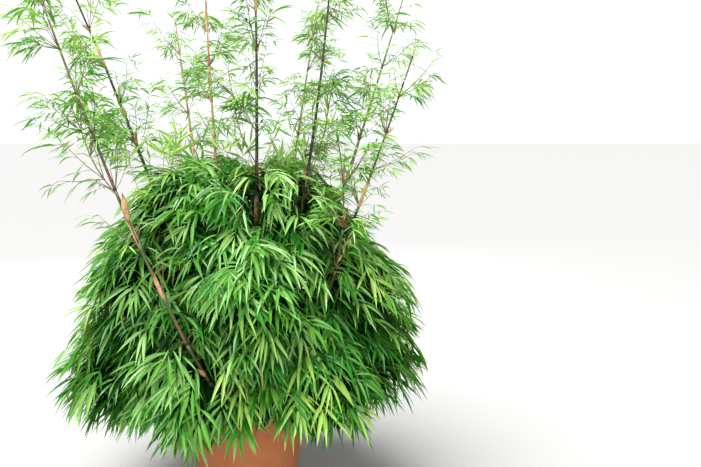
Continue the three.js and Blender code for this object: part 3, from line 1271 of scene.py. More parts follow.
@dataclass
class Leaves:
    """Leaves as rows of arrays, one row each."""

    base: Array
    heading: Array
    face: Array
    length: Array
    width: Array
    droop: Array

    def places(self, shape: LeafShape) -> Array:
        """The vertices of every leaf, as it bends under its own weight.

        Args:
            shape: The leaf's outline.

        Returns:
            An array of leaves by vertices by 3.
        """
        middle, before = self.base.copy(), 0.0
        vertices = []
        for spot, share in zip((0.0, *shape.stations, 1.0), (0.0, *shape.widths, 0.0)):
            half_way = unit(self.heading - UP * (self.droop * (spot + before) / 2)[:, None])
            middle = middle + half_way * (self.length * (spot - before))[:, None]
            heading = unit(self.heading - UP * (self.droop * spot)[:, None])
            face = square_to(self.face, heading)
            aside = np.cross(face, heading)
            half = (self.width * share / 2)[:, None]
            lift = face * half * 2 * shape.fold
            edges = [middle + aside * half + lift, middle, middle - aside * half + lift]
            vertices += edges if share else [middle]
            before = spot
        return np.stack(vertices, axis=1)


@dataclass
class Fan:
    """A leaf fan at the tip of a twig.

    Its axis is the way that the middle leaf points, and its face the way that the leaves' upper sides
    face. Its size is the length of its longest leaf, and its droop is how much the leaves hang.
    """

    tip: Array
    axis: Array
    face: Array
    size: float
    count: int
    droop: float
    tint: Tint
    zone: Zone


@dataclass
class Unfolding:
    """How fans turn to leaves, which stand on both sides of the twig's end by turns."""

    # How far the leaves turn from the fan's axis: the end leaf, the next ones and the lowest ones.
    end_turn_deg: float = 4.0
    least_turn_deg: float = 14.0
    most_turn_deg: float = 62.0
    turn_jitter_deg: float = 7.0
    rise: Range = (0.10, 0.13)
    roll_jitter_deg: float = 20.0
    # The twig's length from leaf to leaf, as a share of a leaf's length.
    spacing: float = 0.08
    # Where in the fan the longest leaf is, and how much shorter a leaf is for each fan's length from it.
    longest_at: float = 0.45
    shortening: float = 0.24
    length: Range = (0.78, 1.08)
    width: Range = (0.09, 0.13)
    droop: Range = (0.6, 1.35)

    def leaves(self, fans: list[Fan], rng: Rng) -> tuple[Leaves, Array]:
        """Turns the fans to leaves.

        Args:
            fans: The fans.
            rng: The seeded source of chance.

        Returns:
            The leaves, and the number of the fan that each belongs to.
        """
        tips, axes, faces, sizes, counts, droops = [
            np.array([getattr(fan, name) for fan in fans])
            for name in ("tip", "axis", "face", "size", "count", "droop")]
        fan = np.repeat(np.arange(len(counts)), counts)
        rank = np.arange(len(fan)) - np.repeat(np.cumsum(counts) - counts, counts)
        axis = unit(axes)[fan]
        face = square_to(faces[fan], axis)
        size = sizes[fan]
        back = rank / np.maximum(counts[fan] - 1, 1)
        first_side = rng.integers(0, 2, len(counts))[fan]
        side = np.where((rank + first_side) % 2 == 0, 1.0, -1.0)
        more_turn = (self.most_turn_deg - self.least_turn_deg) * back
        turn = np.radians(np.where(rank == 0, self.end_turn_deg, self.least_turn_deg + more_turn))
        turn = side * turn + rng.normal(0, math.radians(self.turn_jitter_deg), len(fan))
        aside = np.cross(face, axis)
        rise = rng.normal(*self.rise, len(fan))[:, None]
        heading = unit(axis * np.cos(turn)[:, None] + aside * np.sin(turn)[:, None] + face * rise)
        roll = rng.normal(0, math.radians(self.roll_jitter_deg), len(fan))[:, None]
        face = square_to(face, heading)
        face = unit(face * np.cos(roll) + np.cross(heading, face) * np.sin(roll))
        shortened = 1.0 - self.shortening * np.abs(back - self.longest_at)
        length = size * shortened * rng.uniform(*self.length, len(fan))
        width = length * rng.uniform(*self.width, len(fan))
        droop = droops[fan] * rng.uniform(*self.droop, len(fan))
        base = tips[fan] - axis * (size * self.spacing * rank)[:, None]
        return Leaves(base, heading, face, length, width, droop), fan


@dataclass
class Mass:
    """A foliage mass of the CAD model, read for how far it reaches."""

    node: str
    zone: Zone
    middle: Array = field(init=False)
    half: Array = field(init=False)
    tree: BVHTree = field(init=False)

    def __post_init__(self) -> None:
        """Reads the mass's box and surface from the frame."""
        low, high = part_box(self.node)
        self.middle = np.array((low + high) / 2)
        self.half = np.array((high - low) / 2)
        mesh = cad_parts[self.node].data
        self.tree = BVHTree.FromPolygons(
            [v.co for v in mesh.vertices], [list(f.vertices) for f in mesh.polygons])

    def gap(self, place: Array) -> float:
        """How far a place is from the mass's surface."""
        return self.tree.find_nearest(Vector(place))[3]

    def reach(self, start: Array, way: Array, far: float = 0.9) -> float:
        """How far the mass's outer surface is from a place, in a direction. 0 if the ray misses it."""
        hit = self.tree.ray_cast(Vector(start + way * far), Vector(-way), far)
        return far - hit[3] if hit[0] is not None else 0.0


@dataclass
class Habit:
    """How one tier of the dome grows: its outer fans, the fans behind them, and how they hang."""

    zone: Zone
    outer_fans: int
    inner_fans: int
    leaf: float
    outward: float
    downward: float
    droop: float
    # The shares of dark fans, painted shade that grows with depth, and of pale fans, painted light near the
    # surface.
    painted_shade_share: float
    painted_light_share: float
    axis_jitter: float = 0.26
    face_jitter: float = 0.16

    def axis(self, outward: Array, rng: Rng) -> Array:
        """The way that a fan points, with its outward direction given."""
        return unit(outward * self.outward - UP * self.downward + rng.normal(0, self.axis_jitter, 3))

    def face(self, outward: Array, rng: Rng) -> Array:
        """The way that the upper sides of a fan's leaves face."""
        return UP * 0.75 + outward * 0.6 + rng.normal(0, self.face_jitter, 3)


def spots_on(limbs: list[Limb], low: float, high: float, count: int = 40) -> Array:
    """Places along limbs that twigs may leave, between two shares of their length."""
    return np.concatenate([limb.at(np.linspace(low, high, count)) for limb in limbs])


@dataclass
class Dome:
    """The dome of drooping fans: boughs from the limbs, twigs from the boughs, a fan on each twig."""

    rng: Rng
    twigs: TwigRows
    fans: list[Fan]
    masses: list[Mass]
    fans_on_a_bough: int = 8
    # The leaves of a fan are this share of its tier's size.
    leaf_spread: Range = (0.8, 1.12)
    # How far out the fans stand: shares of the way from a mass's middle to its surface.
    outer_reach: Range = (0.72, 1.0)
    inner_reach: Range = (0.1, 0.58)
    cleft_reach: Range = (1.02, 1.4)
    # Fans that close the clefts: past a mass's own surface, but this near to another's.
    cleft_width: float = 0.13
    cleft_share: float = 0.24
    neighbour_distance: float = 0.75
    # The radii of boughs, of the twigs on them, and of both parts of a fresh shoot, at foot and tip.
    bough_radii: Range = (1.7 * MM, 0.8 * MM)
    twig_radii: Range = (0.8 * MM, 0.45 * MM)
    shoot_radii: Range = (1.4 * MM, 1.1 * MM)
    shoot_tip_radii: Range = (1.1 * MM, 0.6 * MM)
    # New growth shows low down at the front, right of the middle.
    fresh_middle: Place = (0.30, -0.62, 0.68)
    fresh_stretch: Place = (1.0, 1.0, 0.8)
    fresh_reach: float = 0.34
    fresh_share: float = 0.85
    # Sprays deeper than this under a mass's surface are painted shade, as near-black leaves.
    shade_depth: float = 0.075
    withered_share: float = 0.04
    # Leaves deep inside are larger, so that they close the crown against the light.
    deep_growth: float = 1.3
    shoots: int = 7
    shoot_leaf: float = 0.12
    shoot_height: Range = (0.10, 0.24)
    # The dark fans of painted shade in the core and at the rim, and the stretch of the canes that their
    # twigs leave.
    shade_fan_stretch: Range = (0.05, 0.6)
    shade_fan_leaf: float = 0.14
    shade_fan_count: int = 7
    shade_fan_droop: float = 0.8
    core_fans: int = 520
    core_deep_share: float = 0.35
    core_reach: float = 0.42
    core_middle: Place = (0.0, 0.0, 0.92)
    # Fans that lie over the valleys between the masses, under one even outline.
    thatch_fans: int = 450
    thatch_middle: Place = (0.0, -0.05, 0.86)
    thatch_slope: Range = (-0.56, 0.93)
    thatch_spread: float = 0.13
    thatch_samples: int = 7
    even_percentile: float = 65
    valley_depth: float = 0.03
    # Dark fans of painted shade behind the skirt, that close the gaps between its masses over the pot's
    # rim.
    rim_fans: int = 180
    rim_radius: Range = (0.26, 0.45)
    rim_height: Range = (0.54, 0.72)
    rim_seed: int = SEED + 1

    def grow(self, mass: Mass, habit: Habit, limbs: list[Limb]) -> None:
        """Fills one mass.

        Args:
            mass: The mass to fill.
            habit: How its tier grows.
            limbs: The limbs that its boughs may leave.
        """
        tips = self._tips(mass, habit)
        starts = spots_on(limbs, 0.12, 1)
        near = starts[np.linalg.norm((starts - mass.middle) / mass.half, axis=1) < 1.35]
        if habit.zone is Zone.SHOULDER:
            self._shoots(mass, near)
        for group in self._groups(tips, max(2, len(tips) // self.fans_on_a_bough)):
            centre = group.mean(axis=0)
            above = np.maximum(0, near[:, 2] - centre[2] + 0.02)
            start = near[np.argmin(np.linalg.norm(near - centre, axis=1) + 0.7 * above)]
            end = start + (centre - start) * 0.8
            span = np.linalg.norm(end - start)
            knee = (start + end) / 2 + UP * 0.2 * span + self.rng.normal(0, 0.05, 3) * span
            self.twigs.add(habit.zone, start, knee, end, self.bough_radii)
            for tip in group:
                self._spray(tip, mass, habit, (start, knee, end))

    def fill_core(self, limbs: list[Limb]) -> None:
        """Sets dark fans of painted shade close to the canes, between the masses.

        Args:
            limbs: The canes that the twigs may leave.
        """
        starts = spots_on(limbs, *self.shade_fan_stretch)
        for _ in range(self.core_fans):
            way = unit(self.rng.normal(0, 1, 3))
            tip = np.array(self.core_middle) + way * self.core_reach * self.rng.uniform(0.3, 1.0)
            axis = unit(way * [1, 1, 0.2] - UP * 0.5)
            self._shade_fan(Zone.SHOULDER, starts, tip, axis, way, self.rng)

    def close_rim(self, limbs: list[Limb]) -> None:
        """Sets dark fans of painted shade low round the pot's rim, with a source of chance of their own.

        Args:
            limbs: The canes that the twigs may leave.
        """
        rng = np.random.default_rng(self.rim_seed)
        starts = spots_on(limbs, *self.shade_fan_stretch)
        for _ in range(self.rim_fans):
            outward = level_way(rng.random() * 2 * math.pi)
            tip = outward * rng.uniform(*self.rim_radius) + UP * rng.uniform(*self.rim_height)
            axis = unit(outward - UP * rng.uniform(0.4, 1.2) + rng.normal(0, 0.3, 3))
            self._shade_fan(Zone.SKIRT, starts, tip, axis, outward, rng)

    def _shade_fan(self, zone: Zone, starts: Array, tip: Array, axis: Array, outward: Array,
                 rng: Rng) -> None:
        """Notes a fan of large dark leaves, painted shade, on a twig from the nearest cane.

        Args:
            zone: The part of the crown that it belongs to.
            starts: The places that its twig may leave.
            tip: The end of its twig.
            axis: The way that its middle leaf points.
            outward: The way out of the dome.
            rng: The seeded source of chance.
        """
        self.twigs.arch(zone, nearest(starts, tip), UP * 0.02, tip, self.twig_radii)
        tint = Tint.DEEP if rng.random() < self.core_deep_share else Tint.SHADE
        self.fans.append(
            Fan(tip, axis, UP + outward, self.shade_fan_leaf, self.shade_fan_count, self.shade_fan_droop, tint, zone))

    def thatch(self, limbs: list[Limb], habit: Habit) -> None:
        """Sets fans in the valleys between the masses, so that the dome has one even surface.

        Args:
            limbs: The canes that the twigs may leave.
            habit: How the fans hang.
        """
        rng = self.rng
        middle = np.array(self.thatch_middle)
        starts = spots_on(limbs, 0.1, 1)
        made = 0
        while made < self.thatch_fans:
            way = unit(rng.normal(0, 1, 3))
            if not self.thatch_slope[0] < way[2] < self.thatch_slope[1]:
                continue
            around = unit(way + rng.normal(0, self.thatch_spread, (self.thatch_samples, 3)))
            even = np.percentile([self._outline(middle, near) for near in around], self.even_percentile)
            if even - self._outline(middle, way) < self.valley_depth:
                continue
            made += 1
            tip = middle + way * even * rng.uniform(0.88, 1.0)
            outward = unit(way * [1, 1, 0.3])
            axis = habit.axis(outward, rng)
            self.twigs.arch(habit.zone, nearest(starts, tip), UP * 0.03, tip, self.twig_radii)
            draw = rng.random()
            tint = Tint.DEEP if draw < 0.4 else Tint.MID if draw < 0.8 else Tint.LIGHT
            face = habit.face(outward, rng)
            size = habit.leaf * rng.uniform(*self.leaf_spread)
            count = int(rng.integers(5, 9))
            self.fans.append(Fan(tip, axis, face, size, count, habit.droop, tint, habit.zone))

    def _outline(self, start: Array, way: Array) -> float:
        """How far the masses together reach from a place, in a direction."""
        return max(mass.reach(start, way, 1.4) for mass in self.masses)

    def _tips(self, mass: Mass, habit: Habit) -> Array:
        """Places for the fans, most of them near the mass's outer surface.

        Args:
            mass: The mass to fill.
            habit: How its tier grows.

        Returns:
            The places, one row each.
        """
        rng = self.rng
        outward = unit(mass.middle * [1, 1, 0])
        others = [other for other in self.masses
                  if 0 < np.linalg.norm(other.middle - mass.middle) < self.neighbour_distance]
        in_clefts = int(habit.outer_fans * self.cleft_share)
        outer, inner, clefts = [], [], []
        while len(outer) < habit.outer_fans or len(clefts) < in_clefts:
            way = unit(rng.normal(0, 1, 3))
            if way @ outward < -0.45 + 0.35 * rng.random() and way[2] < 0.5:
                continue
            reach = mass.reach(mass.middle, way)
            if not reach:
                continue
            tip = mass.middle + way * reach * rng.uniform(*self.cleft_reach)
            if len(clefts) < in_clefts and sum(other.gap(tip) < self.cleft_width for other in others) > 1:
                clefts.append(tip)
            if len(outer) < habit.outer_fans:
                outer.append(mass.middle + way * reach * rng.uniform(*self.outer_reach))
            if len(inner) < habit.inner_fans:
                inner.append(mass.middle + way * reach * rng.uniform(*self.inner_reach))
        return np.array(outer + inner + clefts)

    def _shoots(self, mass: Mass, near: Array) -> None:
        """Sets fresh shoots that stand up out of the top of a mass.

        Args:
            mass: The mass.
            near: Places on the canes close to it.
        """
        rng = self.rng
        for _ in range(self.shoots):
            spot = mass.middle + mass.half * [*rng.uniform(-0.8, 0.8, 2), 0.4]
            lean = unit(np.append(rng.normal(0, 0.16, 2), 1.0))
            end = spot + lean * rng.uniform(*self.shoot_height)
            self.twigs.arch(Zone.SHOULDER, nearest(near, spot), UP * 0.02, spot, self.shoot_radii)
            self.twigs.arch(Zone.SHOULDER, spot, 0.0, end, self.shoot_tip_radii)
            face = np.append(rng.normal(0, 1, 2), 0.2)
            tint = Tint.LIME if rng.random() < 0.6 else Tint.LIGHT
            self.fans.append(Fan(end, lean, face, self.shoot_leaf, 4, 0.25, tint, Zone.SHOULDER))

    def _groups(self, tips: Array, count: int, rounds: int = 4) -> list[Array]:
        """Sorts the tips into groups of neighbours, one for each bough.

        Args:
            tips: The places of the fans.
            count: How many groups to make at most.
            rounds: How often the groups' centres are found again.

        Returns:
            The tips of each group.
        """
        centres = tips[self.rng.choice(len(tips), count, replace=False)]
        for step in range(rounds + 1):
            owner = np.argmin(np.linalg.norm(tips[:, None] - centres[None], axis=2), axis=1)
            if step < rounds:
                centres = np.array([tips[owner == k].mean(axis=0) if (owner == k).any() else centres[k]
                                    for k in range(count)])
        return [tips[owner == k] for k in range(count) if (owner == k).any()]

    def _spray(self, tip: Array, mass: Mass, habit: Habit, bough: tuple[Array, Array, Array]) -> None:
        """Notes one twig with its fan.

        Args:
            tip: The end of the twig.
            mass: The mass that it is in.
            habit: How its tier grows.
            bough: The start, knee and end of the bough that it leaves.
        """
        rng = self.rng
        line = bend_at(*bough, np.linspace(0.3, 1, 8)[:, None])
        root = line[np.argmin(np.linalg.norm(line - tip, axis=1) + 0.02 * rng.random(len(line)))]
        from_pot = unit(tip * [1, 1, 0])
        from_mass = unit((tip - mass.middle) * [1, 1, 0.4])
        outward = unit(0.6 * from_pot + 0.4 * from_mass)
        axis = habit.axis(outward, rng)
        span = np.linalg.norm(tip - root)
        knee = 0.5 * ((root + tip) / 2 + UP * 0.15 * span) + 0.5 * (tip - axis * span * 0.5)
        self.twigs.add(habit.zone, root, knee, tip, self.twig_radii)
        face = habit.face(outward, rng)
        tint = self._tint(tip, mass, habit)
        growth = self.deep_growth if tint is Tint.SHADE else 1.0
        size = habit.leaf * rng.uniform(*self.leaf_spread) * growth
        count = int(rng.integers(5, 10))
        self.fans.append(Fan(tip, axis, face, size, count, habit.droop, tint, habit.zone))

    def _tint(self, tip: Array, mass: Mass, habit: Habit) -> Tint:
        """The colour of a spray: lightest at the surface as painted light, painted shade in the clefts and
        deep inside.

        Args:
            tip: Where the spray is.
            mass: The mass that it is in.
            habit: How its tier grows.

        Returns:
            The colour.
        """
        depth = mass.reach(mass.middle, unit(tip - mass.middle)) - np.linalg.norm(tip - mass.middle)
        share = depth / self.shade_depth
        draw = self.rng.random()
        # Deep inside: painted shade, a near-black leaf, and now and then a withered one.
        if share > 1:
            return Tint.STRAW if draw < self.withered_share else Tint.SHADE
        # In the clefts between the masses: painted shade.
        if share < -0.01:
            return Tint.SHADE if draw < 0.4 else Tint.DEEP
        # In the new growth: lime leaves at the surface, with darker ones behind them as painted shade.
        near = np.linalg.norm((tip - self.fresh_middle) / self.fresh_stretch) / self.fresh_reach
        if near < 1:
            fresh = draw < self.fresh_share * (1 - share)
            return Tint.LIME if fresh else Tint.DEEP if draw > 0.6 else Tint.MID
        if draw > 0.975:
            return Tint.LIME
        # Darker leaves, more of them deeper in, as painted shade; paler ones, more of them near the
        # surface, as painted light.
        if draw < habit.painted_shade_share * (0.4 + 1.2 * share):
            return Tint.DEEP
        return Tint.LIGHT if draw > 1 - habit.painted_light_share * (1.3 - share) else Tint.MID


def inside_box(place: Array, top_gap: float = 0.06) -> Array:
    """The nearest place inside the CAD box, and a gap under its top."""
    return np.clip(place, CAD_BOX[0], np.array(CAD_BOX[1]) - [0, 0, top_gap])


@dataclass
class Plumes:
    """The thin sprays along the upper canes: branches from each joint, with a few small fans on each."""

    rng: Rng
    twigs: TwigRows
    fans: list[Fan]
    branches: Range = (5, 9)
    low_branches: Range = (1, 4)
    lowest_branch: float = 1.18
    # Radii at foot and tip: branches, the twigs on them, the leader's twigs, and forks at bare joints.
    branch_radii: Range = (1.5 * MM, 0.6 * MM)
    twig_radii: Range = (0.7 * MM, 0.4 * MM)
    leader_radii: Range = (0.9 * MM, 0.4 * MM)
    fork_radii: Range = (1.6 * MM, 0.8 * MM)
    least_reach: float = 0.13
    low_reach: float = 0.10
    fan_spacing: float = 0.036
    most_fans: int = 9
    leaf: float = 0.078
    # Some fans are nearly as large as the dome's.
    large_share: float = 0.13
    large_growth: float = 1.65
    leader_fans: int = 6
    # The colours of the fans and their shares.
    tints: tuple[Tint, ...] = (Tint.DEEP, Tint.MID, Tint.LIGHT, Tint.LIME)
    tint_shares: tuple[float, ...] = (0.05, 0.31, 0.46, 0.18)
    # Forks at the bare joints of the front canes: how many twigs, and how far they lean out.
    fork_twigs: Range = (2, 4)
    fork_lean: Range = (0.35, 0.75)
    fork_length: Range = (0.07, 0.15)
    fork_leaf: float = 0.085

    def grow(self, limb: Limb, mass: Mass) -> None:
        """Grows the branches of one cane inside its mass.

        Args:
            limb: The cane.
            mass: The mass round its upper part.
        """
        rng = self.rng
        first_turn = rng.random() * 2 * math.pi
        for joint in range(1, limb.joints):
            share = joint_share(joint / limb.joints)
            root = limb.at(share)
            inside = root[2] > mass.middle[2] - mass.half[2] * 1.02
            if not inside and root[2] < self.lowest_branch:
                continue
            heading = limb.heading(share)
            for rank in range(int(rng.integers(*(self.branches if inside else self.low_branches)))):
                turn = first_turn + math.pi * joint + rng.normal(0, 0.85)
                aside = square_to(level_way(turn), heading)
                reach = mass.reach(root, unit(aside * [1, 1, 0])) if inside else self.low_reach
                self._branch(root, heading, aside, max(reach, self.least_reach), rank)
        self._leader(limb)

    def fork(self, limb: Limb, span: Range) -> None:
        """Sets a fork of stiff old twigs at each joint of a cane's bare stretch.

        Args:
            limb: The cane.
            span: The bare stretch, as shares of its length.
        """
        rng = self.rng
        for joint in range(1, limb.joints):
            share = joint_share(joint / limb.joints)
            if not span[0] < share < span[1]:
                continue
            root, heading = limb.at(share), limb.heading(share)
            for k in range(int(rng.integers(*self.fork_twigs))):
                aside = square_to(level_way(math.pi * k + rng.normal(0, 0.5)), heading)
                way = unit(heading + aside * rng.uniform(*self.fork_lean))
                end = inside_box(root + way * rng.uniform(*self.fork_length))
                self.twigs.arch(Zone.JOINT, root, aside * 0.006, end, self.fork_radii)
                tint = Tint.LIGHT if rng.random() < 0.6 else Tint.MID
                self.fans.append(Fan(end, unit(way + aside), UP + aside, self.fork_leaf,
                                     int(rng.integers(2, 5)), 0.9, tint, Zone.PLUME))

    def _branch(self, root: Array, heading: Array, aside: Array, reach: float, rank: int) -> None:
        """Notes one ascending branch with fans on both sides by turns.

        Args:
            root: Where it leaves the cane.
            heading: The way that the cane grows.
            aside: The way that the branch leans out.
            reach: How far the mass reaches that way.
            rank: Its number at its joint. The later ones are shorter.
        """
        rng = self.rng
        lift = rng.uniform(0.5, 2.1)
        span = reach * rng.uniform(0.55, 1.0) * math.hypot(1, lift) * (1.0 if rank < 3 else 0.6)
        way = unit(aside + heading * lift)
        end = inside_box(root + way * span)
        knee = (root + end) / 2 + aside * 0.12 * span
        self.twigs.add(Zone.PLUME, root, knee, end, self.branch_radii)
        stops = int(np.clip(span / self.fan_spacing, 2, self.most_fans))
        for stop in range(stops):
            here = bend_at(root, knee, end, 1 - stop / (stops + 0.6))
            side = 1 if stop % 2 else -1
            swing = np.cross(way, UP) * side * (0.0 if stop == 0 else rng.uniform(0.5, 1.1))
            axis = unit(way * 0.8 + swing + aside * 0.35 - UP * rng.uniform(0.2, 0.9))
            tip = inside_box(here + axis * rng.uniform(0.02, 0.05))
            self.twigs.arch(Zone.PLUME, here, UP * 0.006, tip, self.twig_radii)
            face = UP + aside * 0.3 + rng.normal(0, 0.3, 3)
            growth = self.large_growth if rng.random() < self.large_share else 1.0
            size = self.leaf * growth * rng.uniform(0.7, 1.08)
            count = int(rng.integers(3, 7))
            self.fans.append(
                Fan(tip, axis, face, size, count, rng.uniform(0.5, 1.2), self._tint(), Zone.PLUME))

    def _leader(self, limb: Limb) -> None:
        """Notes the thin whip at a cane's tip, with small fans up to it.

        Args:
            limb: The cane.
        """
        rng = self.rng
        for share in np.linspace(joint_share(1 - 1 / limb.joints), 1.0, self.leader_fans):
            root, heading = limb.at(share), limb.heading(share)
            aside = square_to(rng.normal(0, 1, 3), heading)
            way = unit(aside + heading * rng.uniform(0.5, 1.5))
            tip = root + way * rng.uniform(0.03, 0.08)
            self.twigs.arch(Zone.PLUME, root, 0.0, tip, self.leader_radii)
            size = self.leaf * rng.uniform(0.6, 0.9)
            self.fans.append(Fan(tip, unit(way - UP * 0.5), UP + aside * 0.3, size,
                                 int(rng.integers(3, 6)), 0.8, self._tint(), Zone.PLUME))
        top = limb.at(1.0)
        axis = unit(limb.heading(1.0) + rng.normal(0, 0.1, 3))
        tip = top + axis * 0.03
        face = unit(np.cross(axis, [0.3, 1.0, 0.1]))
        self.twigs.arch(Zone.PLUME, top, 0.0, tip, (limb.tip_radius * 0.8, 0.5 * MM))
        self.fans.append(Fan(tip, axis, face, self.leaf * 0.9, 4, 0.3, Tint.LIGHT, Zone.PLUME))

    def _tint(self) -> Tint:
        """The colour of a spray, lighter than the dome's."""
        return self.rng.choice(np.array(self.tints, object), p=self.tint_shares)


@dataclass(frozen=True)
class BareStretch:
    """A stretch of a cane that stands clear of leaves on its outer side."""

    cane: str
    low: float
    high: float
    way: Place = (0.2, -0.93, 0.3)
    reach: float = 0.32


@dataclass
class LeafWorks:
    """Builds all leaves from the fans, joined by zone and tint."""

    shape: LeafShape = field(default_factory=LeafShape)
    side_slack: float = 0.02
    pot_clearance: float = 6 * MM
    straw_share: float = 0.003
    open_half_width: float = 0.014
    # A vertex near a leaf's middle, and how close it is to a stretch that its leaf might hide.
    middle_vertex: int = 6
    nearby: float = 0.7

    def build(self, fans: list[Fan], bare: list[tuple[BareStretch, Array]], rng: Rng) -> list[Piece]:
        """Builds the leaves.

        Args:
            fans: The fans to build.
            bare: Stretches of canes that no leaf may hide, each with places along it.
            rng: The seeded source of chance.

        Returns:
            One object for each zone and tint.
        """
        leaves, fan = Unfolding().leaves(fans, rng)
        places = leaves.places(self.shape)
        zone_of, tint_of = [np.array([getattr(fan, name).value for fan in fans])
                            for name in ("zone", "tint")]
        hiding = np.zeros(len(places), bool)
        for stretch, spots in bare:
            self._mark_hiding(places, stretch, spots, hiding)
        kept = (zone_of[fan] == Zone.LITTER.value) | (self._allowed(places) & ~hiding)
        LOG.info("leaves: %d, of which %d were left out at the edges", kept.sum(), (~kept).sum())
        places, fan = places[kept], fan[kept]
        zone_of, tint_of = zone_of[fan], tint_of[fan]
        tint_of[rng.random(len(fan)) < self.straw_share] = Tint.STRAW.value
        tints = {blade.tint: blade.material() for blade in LEAF_BLADES}
        pieces = []
        for zone in Zone:
            for tint, material in tints.items():
                here = (zone_of == zone.value) & (tint_of == tint.value)
                if here.any():
                    piece = self._piece(f"leaves_{zone.value}_{tint.value}", places[here])
                    dress(piece, material, Slot.LEAF)
                    pieces.append(piece)
        return pieces

    def _allowed(self, places: Array) -> Array:
        """Finds the leaves that stay inside the CAD box and clear of the pot.

        Args:
            places: The vertices of each leaf.

        Returns:
            True for each such leaf.
        """
        low, high = np.array(CAD_BOX)
        slack = (high - low) * self.side_slack
        inside = ((places > low - slack) & (places < high + slack)).all(axis=(1, 2))
        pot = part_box("pot")[1]
        out = np.linalg.norm(places[..., :2], axis=2)
        in_pot = (out < pot.x + self.pot_clearance) & (places[..., 2] < pot.z + self.pot_clearance)
        return inside & ~in_pot.any(axis=1)

    def _mark_hiding(self, places: Array, stretch: BareStretch, spots: Array, hiding: Array) -> None:
        """Marks each leaf that stands in front of a bare stretch.

        Args:
            places: The vertices of each leaf.
            stretch: The stretch.
            spots: Places along it.
            hiding: The marks, one for each leaf.
        """
        way = unit(np.array(stretch.way))
        for place in spots:
            close = (np.abs(places[:, self.middle_vertex] - place) < self.nearby).all(axis=1)
            near = np.flatnonzero(close & ~hiding)
            offset = places[near] - place
            along = offset @ way
            aside = np.linalg.norm(offset - along[..., None] * way, axis=2)
            in_front = (along > -self.open_half_width) & (along < stretch.reach)
            hiding[near] = (in_front & (aside < self.open_half_width)).any(axis=1)

    def _piece(self, name: str, places: Array) -> Piece:
        """One mesh of leaves, with the leaf map and a crease down each midrib.

        Args:
            name: The object's name.
            places: The vertices of each leaf.

        Returns:
            The object.
        """
        count, vertices = places.shape[:2]
        piece = mesh_piece(name, places.reshape(-1, 3), repeat_faces(self.shape.faces(), count, vertices))
        mesh = piece.data
        corners = np.empty(len(mesh.loops), np.int32)
        mesh.loops.foreach_get("vertex_index", corners)
        layer = mesh.uv_layers.new(name=LEAF_MAP)
        layer.data.foreach_set("uv", self.shape.map()[corners % vertices].astype(np.float32).ravel())
        edges = np.empty(len(mesh.edges) * 2, np.int32)
        mesh.edges.foreach_get("vertices", edges)
        creased = self.shape.rib()[edges % vertices].reshape(-1, 2).all(axis=1)
        mesh.attributes.new("sharp_edge", "BOOLEAN", "EDGE").data.foreach_set("value", creased)
        return piece


# The plant


